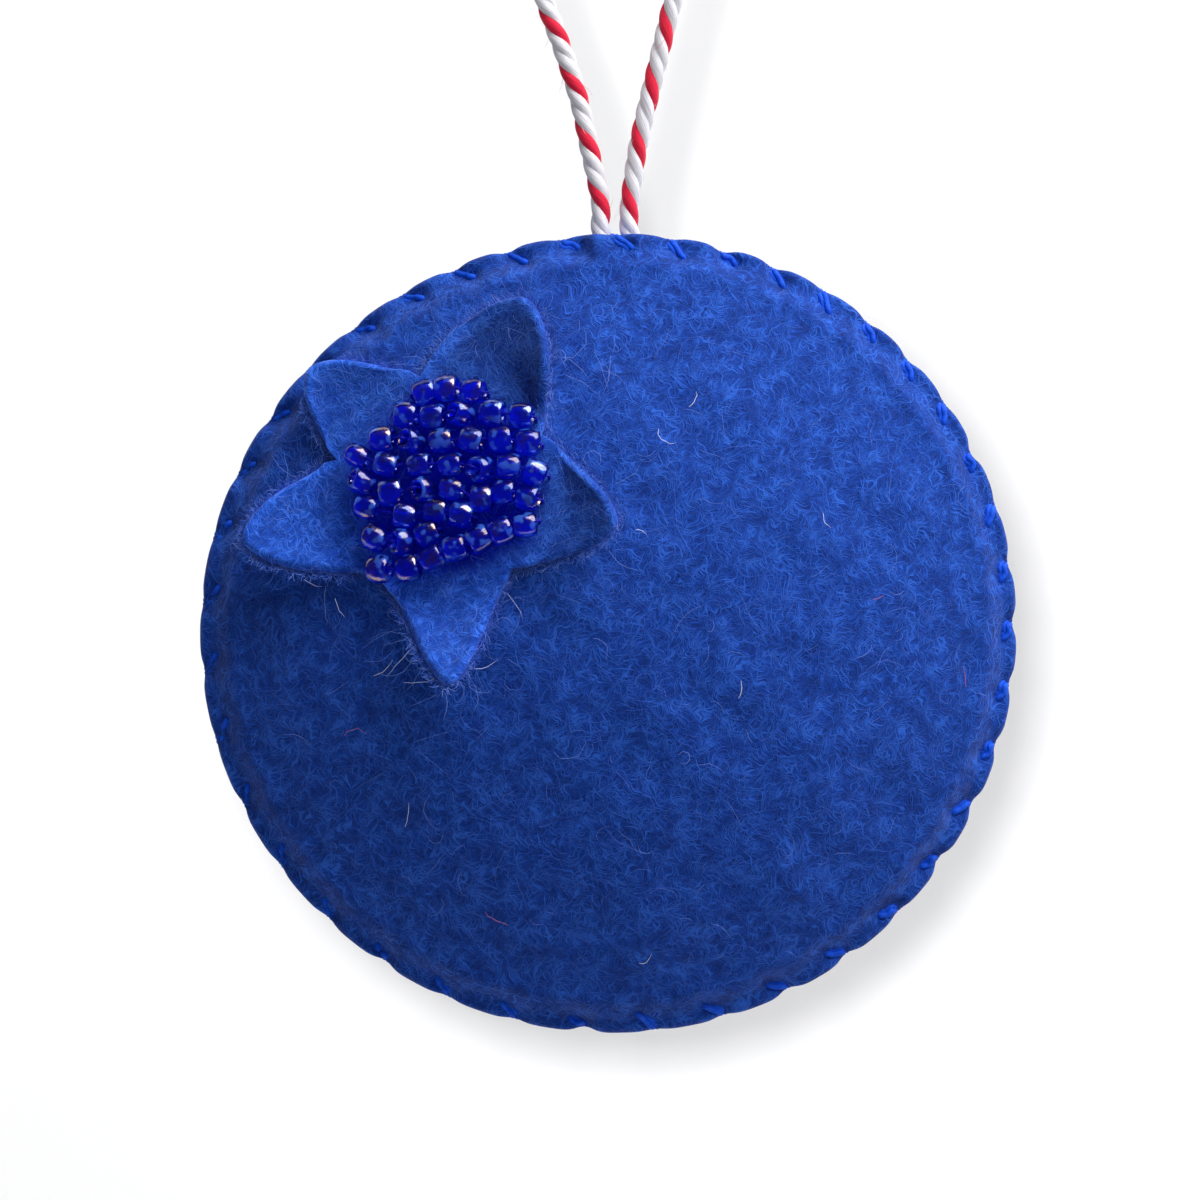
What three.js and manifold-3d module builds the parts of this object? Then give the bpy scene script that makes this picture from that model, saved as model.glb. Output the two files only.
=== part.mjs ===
// A stuffed felt berry ornament: two round felts whip-stitched together over fibrefill,
// a felt calyx star with seed beads sewn on its middle, and a loop of twine to hang it by.
// Millimetres, +Z up, the front faces -Y. The origin is the inside top of the twine loop.
import * as THREE from 'three';
import { mergeVertices } from 'three/addons/utils/BufferGeometryUtils.js';
import Module from 'manifold-3d';

const wasm = await Module();
wasm.setup();

// Round felts, in millimetres and degrees
const DISC_RADIUS = 37.7;
const OVAL = { rise: 0.43, angle: 9 };
const LOBE = { rise: 0.19, angle: 54 };
const FELT = 1.2;
const PUFF = 11.4;
const LIP_START = 0.3;
const LIP_END = 3.4;
const SEAM_GAP = 0.3;
const GAPE_MARGIN = 0.75;
const CLEARANCE = 0.3;
const DOME_SHARES = [0.22, 0.42, 0.68];
const PROBE = 0.5;

// Whip stitch round the edge
const STITCH_COUNT = 40;
const FIRST_STITCH = 87.1;
const STITCH_DRIFT = 8;
const DRIFT_PHASE = 3;
const STITCH_DEPTH = 2.2;
const STITCH_SLANT = 2.1;
const EDGE_DIP = 0.5;
const EDGE_THREAD = 0.6;

// Calyx star, placed from the middle of the disc. A petal's lift is how steeply it leaves the felt,
// and its bulge how far its sides bow out.
const STAR_MIDDLE = { x: -15.2, z: 13.6 };
const STAR_TIPS = [
  { angle: 139.7, reach: 16.9, lift: 0.55, bulge: 1.2 },
  { angle: 66.5, reach: 18.7, lift: 0.65, bulge: 1.2 },
  { angle: -12.6, reach: 16.7, lift: 0.7, bulge: 1 },
  { angle: -88.6, reach: 18.9, lift: 0.9, bulge: 0.4 },
  { angle: -164.2, reach: 19.8, lift: 0.6, bulge: 1.5 },
];
const STAR_VALLEY = 10;
const TIP_ROUND = 0.9;
const PETAL_EASE = 2.5;
const PETAL_STEPS = 4;

// Seed beads. Their places are [x, z] from the middle of the star as seen from the front, row by row
// along the thread; a standing bead shows its bore.
const BEAD_DIAMETER = 2.2;
const BEAD_LENGTH = 1.7;
const BEAD_BORE = 1;
const STANDING_TILT = 55;
const BEAD_THREAD = 0.3;
const BEAD_ROWS = [
  [[-2.1, 8.7], [0, 9.1], [2.5, 8.8]],
  [[-3.8, 6.6], [-1.3, 6.5], [1.3, 6.7], [4.3, 6.8], [7, 6.5]],
  [[-6, 4.4], [-3.3, 4.2], [-0.5, 4.2], [2.4, 4.3], [5.1, 4.3], [7.6, 4]],
  [[-8.3, 2.8], [-5.6, 2], [-2.5, 2], [0.4, 2], [3.2, 1.5], [5.8, 1.8], [8.2, 1.2]],
  [[-7.9, 0.4], [-5.2, -0.6], [-2.1, -0.3], [0.5, -0.3], [3.3, -1.2], [5.4, -0.6], [7.6, -1.1]],
  [[-7.4, -2], [-3.9, -2.7], [-0.9, -2.3], [1.4, -2.7]],
  [[-6.6, -4.8], [-4.1, -5.2], [-1.8, -4.4]],
  [[-6.2, -7.7], [-3.5, -7.6], [-1.3, -6.7], [0.9, -5.8], [3, -5], [5.1, -4.2], [7.3, -3.6]],
];
const STANDING_BEADS = [6, 10, 19, 22, 24, 34];

// Twine: the free loop's route is [x, z] from the top of its centre line, chosen by hand
const TWINE = 1.8;
const TWINE_SIDES = 8;
const SWING = 80;
const TAIL_STAND = 0.4;
const KNOT_DEPTH = 11;
const KNOT_RADIUS = 2.3;
const KNOT_PULL = 0.9;
const KNOT_ROOM = 1.3;
const LOOP_ROUTE = [
  [-0.9, -73.1], [-1.3, -70.9], [-2, -67.7], [-2.9, -63.5], [-4.3, -59.1], [-6.2, -53.9],
  [-8.2, -46.9], [-10.2, -38.9], [-11.9, -29.9], [-12.6, -20.9], [-11.6, -11.9], [-8, -3.9],
  [-4.2, -0.7], [0, 0], [4.2, -0.7], [8, -3.9], [11.6, -11.9], [12.6, -20.9], [11.9, -29.9],
  [10.1, -38.9], [7.9, -46.9], [5.9, -53.9], [4.6, -59.2], [3.5, -63.7], [2.6, -67.7],
  [2.1, -70.9], [1.8, -73.1],
];

// Colours and finishes
const FELT_BLUE = new THREE.MeshStandardMaterial({ color: '#1f2f9c', roughness: 0.95 });
const STAR_BLUE = new THREE.MeshStandardMaterial({ color: '#2336a8', roughness: 0.95 });
const THREAD_BLUE = new THREE.MeshStandardMaterial({ color: '#2440c8', roughness: 0.6 });
const BEAD_BLUE = new THREE.MeshStandardMaterial({ color: '#24357e', roughness: 0.15, metalness: 0.2 });
const FILL_WHITE = new THREE.MeshStandardMaterial({ color: '#f0efe9', roughness: 1 });
const TWINE_RED = new THREE.MeshStandardMaterial({ color: '#d98f8c', roughness: 0.9 });

const twineRadius = TWINE / 2;
const edgeRadius = EDGE_THREAD / 2;
const beadRadius = BEAD_DIAMETER / 2;
const beadThreadRadius = BEAD_THREAD / 2;
const radians = THREE.MathUtils.degToRad;

// Solid helpers

// A closed skin through rings of points that run anticlockwise about the way they follow each
// other. A ring of one point is a pole, and a ring may have twice or half the points of the last.
function loft(rings) {
  const positions = rings.flat().flatMap((point) => [point.x, point.y, point.z]);
  const triangles = [];
  let start = 0;
  for (let level = 0; level + 1 < rings.length; level += 1) {
    const lower = rings[level].length;
    const upper = rings[level + 1].length;
    const next = start + lower;
    const steps = Math.max(lower, upper);
    const below = (i) => start + (Math.floor((i * lower) / steps) % lower);
    const above = (i) => next + (Math.floor((i * upper) / steps) % upper);
    for (let i = 0; i < steps; i += 1) {
      if (below(i) !== below(i + 1)) triangles.push(below(i), below(i + 1), above(i + 1));
      if (above(i) !== above(i + 1)) triangles.push(below(i), above(i + 1), above(i));
    }
    start = next;
  }
  const geometry = new THREE.BufferGeometry();
  geometry.setAttribute('position', new THREE.Float32BufferAttribute(positions, 3));
  geometry.setIndex(triangles);
  return geometry;
}

// A round tube along points, with a flat end at each end
function tube(points, radius, sides) {
  const ways = points.slice(1).map((point, i) => point.clone().sub(points[i]).normalize());
  const side = new THREE.Vector3(0, 0, 1).cross(ways[0]);
  if (side.length() < 0.1) side.set(1, 0, 0);
  side.normalize();
  const rings = points.map((point, i) => {
    const before = ways[Math.max(i - 1, 0)];
    const after = ways[Math.min(i, ways.length - 1)];
    const along = before.clone().add(after).normalize();
    side.addScaledVector(along, -side.dot(along)).normalize();
    const up = along.clone().cross(side);
    return Array.from({ length: sides }, (_, k) => {
      const turn = (2 * Math.PI * k) / sides;
      return point.clone()
        .addScaledVector(side, radius * Math.cos(turn))
        .addScaledVector(up, radius * Math.sin(turn));
    });
  });
  return loft([[points[0]], ...rings, [points.at(-1)]]);
}

function toSolid(geometry) {
  const bare = geometry.clone();
  bare.deleteAttribute('normal');
  bare.deleteAttribute('uv');
  const merged = mergeVertices(bare, 1e-4);
  return new wasm.Manifold(new wasm.Mesh({
    numProp: 3,
    vertProperties: new Float32Array(merged.attributes.position.array),
    triVerts: new Uint32Array(merged.index.array),
  }));
}

function toGeometry(solid) {
  const mesh = solid.getMesh();
  const geometry = new THREE.BufferGeometry();
  geometry.setAttribute('position', new THREE.BufferAttribute(mesh.vertProperties, 3));
  geometry.setIndex(new THREE.BufferAttribute(mesh.triVerts, 1));
  return geometry;
}

function piece(name, geometry, material) {
  const shaded = geometry.clone();
  shaded.computeVertexNormals();
  const mesh = new THREE.Mesh(shaded, material);
  mesh.name = name;
  return mesh;
}

// Outline and swell of the round felts

function rimRadius(angle) {
  const oval = OVAL.rise * Math.cos(2 * radians(angle - OVAL.angle));
  const lobe = LOBE.rise * Math.cos(3 * radians(angle - LOBE.angle));
  return DISC_RADIUS + oval + lobe;
}

function polar(angle, radius) {
  return { x: radius * Math.cos(radians(angle)), z: radius * Math.sin(radians(angle)) };
}

function depthFromRim(x, z) {
  return rimRadius(THREE.MathUtils.radToDeg(Math.atan2(z, x))) - Math.hypot(x, z);
}

// Height of the swell above the seam, from how far in from the rim a point lies
function swell(depth) {
  const inside = THREE.MathUtils.clamp(depth / DISC_RADIUS, 0, 1);
  const crown = 1 - (1 - inside) ** 2;
  return PUFF * crown * THREE.MathUtils.smoothstep(depth, LIP_START, LIP_END);
}

// Stitch places: each front stitch runs from its crossing at the rim to its needle hole
function stitchAngle(i) {
  const turn = (2 * Math.PI) / STITCH_COUNT;
  const drift = Math.sin(turn * (i - DRIFT_PHASE)) + Math.sin(turn * DRIFT_PHASE);
  return FIRST_STITCH - (360 / STITCH_COUNT) * i + STITCH_DRIFT * drift;
}

const crossing = (i) => stitchAngle(i) + STITCH_SLANT;
const trapCrossing = polar(crossing(0), rimRadius(crossing(0)));
const trapHole = polar(stitchAngle(0), rimRadius(stitchAngle(0)) - STITCH_DEPTH);
const trapWidth = twineRadius + edgeRadius + (2 * CLEARANCE) / 3;
const seamTop = trapCrossing.z;

// The felts part a little at the top, where the twine comes out between them
const gapeWidth = trapWidth + twineRadius + GAPE_MARGIN;

function gape(x) {
  const away = Math.abs(x - trapCrossing.x);
  const share = 1 - THREE.MathUtils.smoothstep(away, gapeWidth, 2 * gapeWidth);
  return (twineRadius + CLEARANCE) * share;
}

function innerRise(x, z) {
  const lips = z > 0 ? gape(x) : 0;
  return SEAM_GAP / 2 + Math.max(swell(depthFromRim(x, z)), lips);
}

function outerRise(x, z) {
  const depth = depthFromRim(x, z);
  const slope = (swell(depth + PROBE) - swell(depth - PROBE)) / (2 * PROBE);
  return innerRise(x, z) + FELT * Math.hypot(1, slope);
}

// A point at a height above a front surface, square to it
function above(rise, x, z, height) {
  const normal = new THREE.Vector3(
    rise(x - PROBE, z) - rise(x + PROBE, z),
    -2 * PROBE,
    rise(x, z - PROBE) - rise(x, z + PROBE),
  ).normalize();
  return new THREE.Vector3(x, -rise(x, z), z).addScaledVector(normal, height);
}

const aboveFront = (x, z, height) => above(outerRise, x, z, height);

// Felt rings: two points a stitch near the rim, drawn in where the thread crosses it
function feltRing(depth, share, rise, face) {
  const ring = [];
  for (let i = 0; i < STITCH_COUNT; i += 1) {
    const angles = [crossing(i)];
    if (share === 2) angles.push((crossing(i) + crossing(i + 1)) / 2);
    angles.forEach((angle, k) => {
      const dip = depth === 0 && k === 0 ? EDGE_DIP : 0;
      const { x, z } = polar(angle, rimRadius(angle) * (1 - depth / DISC_RADIUS) - dip);
      ring.push(new THREE.Vector3(x, face * rise(x, z), z));
    });
  }
  return ring;
}

const LIP_RING = STITCH_DEPTH / 2;
const FILL_EDGE = 1.5 * STITCH_DEPTH;
const DOME_RINGS = [FILL_EDGE, ...DOME_SHARES.map((share) => share * DISC_RADIUS)];

function feltRings(rise, face) {
  const rim = feltRing(0, 2, rise, face);
  const dome = [LIP_RING, ...DOME_RINGS].map((depth) => feltRing(depth, 1, rise, face));
  return [rim, ...dome, [new THREE.Vector3(0, face * rise(0, 0), 0)]];
}

function needleHole(from, to, radius) {
  const way = to.clone().sub(from).normalize();
  const ends = [from.clone().addScaledVector(way, -1), to.clone().addScaledVector(way, 1)];
  return toSolid(tube(ends, radius, 4));
}

function edgeHole(i) {
  const angle = stitchAngle(i);
  const { x, z } = polar(angle, rimRadius(angle) - STITCH_DEPTH);
  const reach = outerRise(x, z);
  const front = new THREE.Vector3(x, -reach, z);
  const back = new THREE.Vector3(x, reach, z);
  return needleHole(front, back, edgeRadius + CLEARANCE);
}

function roundFelt(face, holes) {
  const outer = feltRings(outerRise, face);
  const inner = feltRings(innerRise, face);
  const rings = face < 0 ? [...outer.reverse(), ...inner] : [...inner.reverse(), ...outer];
  const felt = holes.reduce((solid, hole) => solid.subtract(hole), toSolid(loft(rings)));
  return toGeometry(felt);
}

// Whip stitch: one unbroken thread that winds over the edge and through the needle holes
function edgeThreadPoints() {
  const stand = edgeRadius + CLEARANCE;
  const arch = stand + edgeRadius;
  const at = (angle, depth, face, lift) => {
    const { x, z } = polar(angle, rimRadius(angle) - depth);
    return new THREE.Vector3(x, face * (outerRise(x, z) + lift), z);
  };
  const rim = EDGE_DIP - stand;
  const points = [
    at(crossing(0), EDGE_DIP / 2, 0, 0),
    at(crossing(0), rim, 0, 0),
  ];
  for (let i = 0; i < STITCH_COUNT; i += 1) {
    const hole = stitchAngle(i);
    const over = crossing(i);
    const ahead = crossing(i + 1);
    points.push(
      at(over, rim, -1, -FELT / 3),
      at(over - STITCH_SLANT / 4, EDGE_DIP, -1, stand + edgeRadius / 2),
      at((hole + over) / 2, STITCH_DEPTH * 0.6, -1, arch),
      at(hole, STITCH_DEPTH, -1, arch),
    );
    if (i + 1 === STITCH_COUNT) {
      points.push(at(hole, STITCH_DEPTH, 0, 0));
      break;
    }
    points.push(
      at(hole, STITCH_DEPTH, 1, arch),
      at((hole + ahead) / 2, STITCH_DEPTH * 0.6, 1, arch),
      at(ahead + STITCH_SLANT / 4, EDGE_DIP, 1, stand + edgeRadius / 2),
      at(ahead, rim, 1, -FELT / 3),
    );
  }
  return points;
}

// Least gap between one turn of the thread and any other that isn't next to it on the thread
function leastGap(points, turn, diameter) {
  let least = Infinity;
  for (let i = 0; i < points.length; i += 1) {
    for (let k = i + turn; k < points.length; k += 1) {
      least = Math.min(least, points[i].distanceTo(points[k]));
    }
  }
  return least - diameter;
}

// Calyx star: five petals with rounded tips, flat under the beads and lifted towards their tips
function starOutline() {
  const outline = [];
  const tips = STAR_TIPS.map((tip) => polar(tip.angle, tip.reach));
  const last = STAR_TIPS.length;
  const valleys = STAR_TIPS.map((tip, i) => {
    const turn = i + 1 === last ? 360 : 0;
    return polar((tip.angle + STAR_TIPS[(i + 1) % last].angle - turn) / 2, STAR_VALLEY);
  });
  // One side of a petal, from its valley to the middle of its rounded tip
  const side = (valley, tip, i, hand) => {
    const from = new THREE.Vector2(valley.x, valley.z);
    const to = new THREE.Vector2(tip.x, tip.z);
    const run = to.clone().sub(from);
    const outward = new THREE.Vector2(-run.y, run.x).setLength(hand);
    const bowed = from.clone().lerp(to, 0.5).addScaledVector(outward, 2 * STAR_TIPS[i].bulge);
    const across = polar(STAR_TIPS[i].angle + 90, hand * TIP_ROUND);
    const blunt = to.clone().add(new THREE.Vector2(across.x, across.z));
    return new THREE.CubicBezierCurve(from, bowed, blunt, to).getPoints(PETAL_STEPS);
  };
  tips.forEach((tip, i) => {
    const before = side(valleys[(i + last - 1) % last], tip, i, 1);
    const after = side(valleys[i], tip, i, -1).reverse();
    outline.push(...before.slice(0, -1), ...after.slice(0, -1));
  });
  return outline;
}

const STAR_RINGS = [0.3, 0.55, 0.78, 1];
const starSeat = 1.5 * CLEARANCE;
const starTop = starSeat + FELT;
const liftStart = STAR_VALLEY + beadRadius;

// Lift of the petal that a direction from the middle of the star falls in
function petalLift(way) {
  const facing = STAR_TIPS.map((tip) => Math.cos(way - radians(tip.angle)));
  return STAR_TIPS[facing.indexOf(Math.max(...facing))].lift;
}

// The star follows the felt under the beads; past them each petal bends up and runs on at its own slope
function starRise(x, z) {
  const away = new THREE.Vector2(x - STAR_MIDDLE.x, z - STAR_MIDDLE.z);
  const run = away.length() - liftStart;
  if (run <= 0) return outerRise(x, z);
  const lift = petalLift(away.angle());
  away.normalize();
  const felt = (reach) => outerRise(STAR_MIDDLE.x + away.x * reach, STAR_MIDDLE.z + away.y * reach);
  const slope = felt(liftStart) - felt(liftStart - 1);
  return felt(liftStart) + slope * run + (lift * run ** 2) / (run + PETAL_EASE);
}

function calyxStar(holes) {
  const outline = starOutline();
  const at = (x, z, height) => above(starRise, STAR_MIDDLE.x + x, STAR_MIDDLE.z + z, height);
  const ring = (share, height) => outline.map((point) => at(point.x * share, point.y * share, height));
  const faces = (height) => [
    [at(0, 0, height)],
    ...STAR_RINGS.map((share) => ring(share, height)),
  ];
  const skin = loft([...faces(starTop), ...faces(starSeat).reverse()]);
  return toGeometry(holes.reduce((solid, hole) => solid.subtract(hole), toSolid(skin)));
}

// Seed beads, in rows along their thread. The dome leans each bead outwards by its height above the
// felt, so a bead seen at a place stands on the felt a little nearer to the middle of the disc.
const beadHeight = starTop + CLEARANCE + beadRadius;
const underHeight = -FELT - CLEARANCE - beadThreadRadius;
const outwardLean = 1 + (2 * PUFF * beadHeight) / DISC_RADIUS ** 2;

function beadPlaces() {
  let number = 0;
  return BEAD_ROWS.map((row) => row.map(([x, z], k) => {
    number += 1;
    const before = row[Math.max(k - 1, 0)];
    const after = row[Math.min(k + 1, row.length - 1)];
    return {
      x: (STAR_MIDDLE.x + x) / outwardLean,
      z: (STAR_MIDDLE.z + z) / outwardLean,
      slope: (after[1] - before[1]) / (after[0] - before[0]),
      standing: STANDING_BEADS.includes(number),
    };
  }));
}

function beadRing() {
  const half = BEAD_LENGTH / 2;
  const bore = BEAD_BORE / 2;
  const middle = (bore + beadRadius) / 2;
  const profile = [
    [bore, -0.8 * half], [middle, -half], [beadRadius, 0], [middle, half], [bore, 0.8 * half],
    [bore, -0.8 * half],
  ].map(([radius, along]) => new THREE.Vector2(radius, along));
  return new THREE.LatheGeometry(profile, 8);
}

function rowAxis(place) {
  const ahead = aboveFront(place.x + 1, place.z + place.slope, beadHeight);
  return ahead.sub(aboveFront(place.x, place.z, beadHeight)).normalize();
}

// A standing bead leans so far out of its row that its bore shows
function standingAxis(place) {
  const centre = aboveFront(place.x, place.z, beadHeight);
  const inward = aboveFront(place.x, place.z, 0).sub(centre).normalize();
  const tilt = radians(STANDING_TILT);
  return rowAxis(place).multiplyScalar(Math.cos(tilt)).addScaledVector(inward, Math.sin(tilt));
}

function seedBeads(rows) {
  const ring = beadRing();
  const beads = [];
  rows.flat().forEach((place) => {
    const name = `seed_bead_${String(beads.length + 1).padStart(2, '0')}`;
    const bead = piece(name, ring, BEAD_BLUE);
    const centre = aboveFront(place.x, place.z, beadHeight);
    const axis = place.standing ? standingAxis(place) : rowAxis(place);
    bead.quaternion.setFromUnitVectors(new THREE.Vector3(0, 1, 0), axis);
    bead.position.copy(centre);
    beads.push(bead);
  });
  return beads;
}

// Bead thread: along one row and back along the next, then down through star and felt to the
// next pair of rows
function beadThread(rows) {
  const half = BEAD_LENGTH / 2;
  const beside = beadRadius + CLEARANCE + beadThreadRadius;
  const points = [];
  const dives = [];
  const dive = (x, z, heights) => {
    points.push(...heights.map((height) => aboveFront(x, z, height)));
    dives.push({ x, z });
  };
  rows.forEach((row, r) => {
    const way = r % 2 === 0 ? -1 : 1;
    const beads = way > 0 ? row : [...row].reverse();
    const first = beads[0];
    const last = beads.at(-1);
    if (way < 0) dive(first.x + beside, first.z + first.slope * beside, [underHeight, beadHeight]);
    beads.forEach((bead) => {
      const axis = bead.standing ? standingAxis(bead) : rowAxis(bead);
      const reach = axis.setLength(way * (bead.standing ? half + CLEARANCE : half));
      const centre = aboveFront(bead.x, bead.z, beadHeight);
      points.push(centre.clone().sub(reach), centre.clone().add(reach));
    });
    if (way > 0) {
      dive(last.x + beside, last.z + last.slope * beside, [beadHeight, underHeight]);
      return;
    }
    const follower = rows[r + 1][0];
    const turn = Math.min(last.x, follower.x) - beside;
    points.push(aboveFront(turn, last.z, beadHeight), aboveFront(turn, follower.z, beadHeight));
  });
  return { points, dives };
}

// Twine: two tails through the seam to a knot inside, and the loop above them
const hingeGap = twineRadius / Math.cos(radians(SWING / 2)) + CLEARANCE / 10;
const knotTwine = KNOT_PULL * twineRadius;
const knotReach = 1.5 * KNOT_RADIUS + knotTwine;
const knotMiddle = (trapCrossing.x + trapHole.x) / 2;

function twineTube(points, steps) {
  const section = new THREE.Shape();
  for (let k = 0; k < TWINE_SIDES; k += 1) {
    const turn = (2 * Math.PI * k) / TWINE_SIDES;
    const corner = [twineRadius * Math.cos(turn), twineRadius * Math.sin(turn)];
    if (k === 0) section.moveTo(...corner);
    else section.lineTo(...corner);
  }
  const path = new THREE.CatmullRomCurve3(points);
  return toSolid(new THREE.ExtrudeGeometry(section, { steps, extrudePath: path }));
}

function roundEnd(point) {
  const ball = new THREE.SphereGeometry(twineRadius, TWINE_SIDES, TWINE_SIDES / 2);
  return toSolid(ball.translate(point.x, point.y, point.z));
}

function twineLoop() {
  const route = LOOP_ROUTE.map(([x, z]) => new THREE.Vector3(x, 0, z));
  const loop = twineTube(route, 40).add(roundEnd(route[0])).add(roundEnd(route.at(-1)));
  return toGeometry(loop);
}

function twineTails() {
  const knotHeight = seamTop - KNOT_DEPTH;
  const tail = (way) => {
    const route = [
      [trapCrossing.x + way * trapWidth, seamTop + TAIL_STAND],
      [trapCrossing.x + way * trapWidth, seamTop - TAIL_STAND],
      [trapHole.x + way * trapWidth, trapHole.z],
      [trapHole.x + way * trapWidth, trapHole.z - TWINE],
      [knotMiddle + way * KNOT_RADIUS / 2, knotHeight],
    ].map(([x, z]) => new THREE.Vector3(x, 0, z));
    return twineTube(route, 6).add(roundEnd(route[0]));
  };
  const knot = new THREE.TorusKnotGeometry(KNOT_RADIUS, knotTwine, 30, 5, 2, 3);
  const turned = knot.rotateX(Math.PI / 2).translate(knotMiddle, 0, knotHeight);
  return toGeometry(toSolid(turned).add(tail(-1)).add(tail(1)));
}

// Fibrefill: fills the felts, with a pocket at the top for the knot
function stuffing() {
  const room = { front: CLEARANCE + BEAD_THREAD + CLEARANCE, back: CLEARANCE };
  const rings = (face, gap) => [
    ...DOME_RINGS.map((depth) => feltRing(depth, 1, (x, z) => innerRise(x, z) - gap, face)),
    [new THREE.Vector3(0, face * (innerRise(0, 0) - gap), 0)],
  ];
  const fill = toSolid(loft([...rings(-1, room.front).reverse(), ...rings(1, room.back)]));
  const depth = KNOT_DEPTH + knotReach + KNOT_ROOM;
  const width = knotReach + KNOT_ROOM;
  const pocket = new THREE.CylinderGeometry(width, width, depth, 12);
  pocket.rotateX(Math.PI / 2).translate(knotMiddle, 0, seamTop - depth / 2);
  return toGeometry(fill.subtract(toSolid(pocket)));
}

// Assembly
const rows = beadPlaces();
const sewing = beadThread(rows);
const edgeHoles = Array.from({ length: STITCH_COUNT }, (_, i) => edgeHole(i));
const beadHoles = sewing.dives.map(({ x, z }) => {
  const top = aboveFront(x, z, starTop + CLEARANCE);
  return needleHole(top, aboveFront(x, z, underHeight), beadThreadRadius + CLEARANCE);
});
const stitches = edgeThreadPoints();
const stitchGap = leastGap(stitches, 8, EDGE_THREAD);
console.log(`least gap of the edge thread to itself: ${stitchGap.toFixed(2)} mm`);

const berry = new THREE.Group();
berry.add(
  piece('front_felt', roundFelt(-1, [...edgeHoles, ...beadHoles]), FELT_BLUE),
  piece('back_felt', roundFelt(1, edgeHoles), FELT_BLUE),
  piece('stuffing', stuffing(), FILL_WHITE),
  piece('edge_thread', tube(stitches, edgeRadius, 5), THREAD_BLUE),
  piece('calyx_star', calyxStar(beadHoles), STAR_BLUE),
  piece('bead_thread', tube(sewing.points, beadThreadRadius, 4), THREAD_BLUE),
  piece('twine_tails', twineTails(), TWINE_RED),
  ...seedBeads(rows),
);

const hingeHeight = LOOP_ROUTE[0][1] - hingeGap;
berry.position.z = hingeHeight - hingeGap - TAIL_STAND - seamTop;

const ornament = new THREE.Group();
ornament.add(berry, piece('twine_loop', twineLoop(), TWINE_RED));
ornament.position.z = twineRadius;

export default ornament;
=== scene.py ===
# %% [markdown]
# # A felt berry ornament
# A stuffed felt berry hangs on a loop of red and white twine. The sizes below are its CAD model's own,
# in millimetres, and become metres only where a mesh is made. A few values of the star and the seam
# were then tuned to the photograph. The soft CAD solids give way to felt, thread, glass and twine that
# look like the real things and sit in the same places.

import math

import bpy
import numpy as np
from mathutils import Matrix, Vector


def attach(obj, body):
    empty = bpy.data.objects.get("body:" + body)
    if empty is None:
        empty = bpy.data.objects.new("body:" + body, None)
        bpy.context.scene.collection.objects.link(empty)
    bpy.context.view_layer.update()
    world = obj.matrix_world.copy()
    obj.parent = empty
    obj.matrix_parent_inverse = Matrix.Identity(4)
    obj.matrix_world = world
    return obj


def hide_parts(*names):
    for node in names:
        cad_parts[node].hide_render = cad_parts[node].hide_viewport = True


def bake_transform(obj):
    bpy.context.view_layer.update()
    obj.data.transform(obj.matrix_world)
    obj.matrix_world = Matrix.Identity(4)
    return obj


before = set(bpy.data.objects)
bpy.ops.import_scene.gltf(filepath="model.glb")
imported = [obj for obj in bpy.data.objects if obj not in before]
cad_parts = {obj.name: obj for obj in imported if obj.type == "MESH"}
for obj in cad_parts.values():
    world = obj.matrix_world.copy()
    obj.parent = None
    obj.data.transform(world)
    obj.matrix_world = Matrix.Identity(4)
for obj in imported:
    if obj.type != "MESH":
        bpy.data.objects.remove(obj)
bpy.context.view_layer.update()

# %% [markdown]
# ## Colour and node helpers
# Dyes and glazes are easiest to name as screen colours, but shaders count light, which is linear.
# One function turns an sRGB hex value into that. Node trees can be built by clicking or in code; one
# small function that adds a node, sets it and links it keeps each material readable from top to bottom.
# A setting called stops lays out a colour ramp, and a link that is given a node takes its first output.

# %% Colour and node helpers
MM = 0.001


def linear(hex_colour):
    """The linear colour of an sRGB hex value"""
    shares = [int(hex_colour[i:i + 2], 16) / 255 for i in (1, 3, 5)]
    return [s / 12.92 if s <= 0.04045 else ((s + 0.055) / 1.055) ** 2.4 for s in shares] + [1.0]


def add_node(tree, kind, settings=None, links=None):
    """A new node, or the tree's own one of that name, with its settings and what feeds its sockets"""
    node = tree.nodes.get(kind) or tree.nodes.new(kind)
    for name, value in (settings or {}).items():
        if name == "stops":
            for place in sorted(value)[1:-1]:
                node.color_ramp.elements.new(place)
            for element, place in zip(node.color_ramp.elements, sorted(value)):
                element.position = place
                element.color = linear(value[place])
        elif isinstance(name, int) or name in node.inputs:
            node.inputs[name].default_value = value
        else:
            setattr(node, name, value)
    for name, source in (links or {}).items():
        output = source if isinstance(source, bpy.types.NodeSocket) else source.outputs[0]
        tree.links.new(output, node.inputs[name])
    return node


def new_material(name):
    """A material and its node tree, which holds a principled shader"""
    material = bpy.data.materials.new(name)
    material.use_nodes = True
    return material, material.node_tree


print("royal blue in linear light:", [round(c, 3) for c in linear("#1b4096")])

# %% [markdown]
# ## Mesh helpers
# Fibres, threads and twine are all round things that follow a line. Curves with a bevel would do for
# one or two, but thousands of hairs are quicker as one mesh, so rings of points are laid round each
# line and joined by quads. The frame of each ring is carried along the line without twisting.

# %% Pieces
# Almost every piece belongs to the berry and stands for one of its CAD nodes.


def add_piece(name, points, faces, *materials):
    """A smooth-shaded mesh from points in millimetres"""
    mesh = bpy.data.meshes.new(name)
    mesh.from_pydata((np.asarray(points) * MM).tolist(), [], faces)
    mesh.shade_smooth()
    for material in materials:
        mesh.materials.append(material)
    piece = bpy.data.objects.new(name, mesh)
    bpy.context.collection.objects.link(piece)
    return piece


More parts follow.
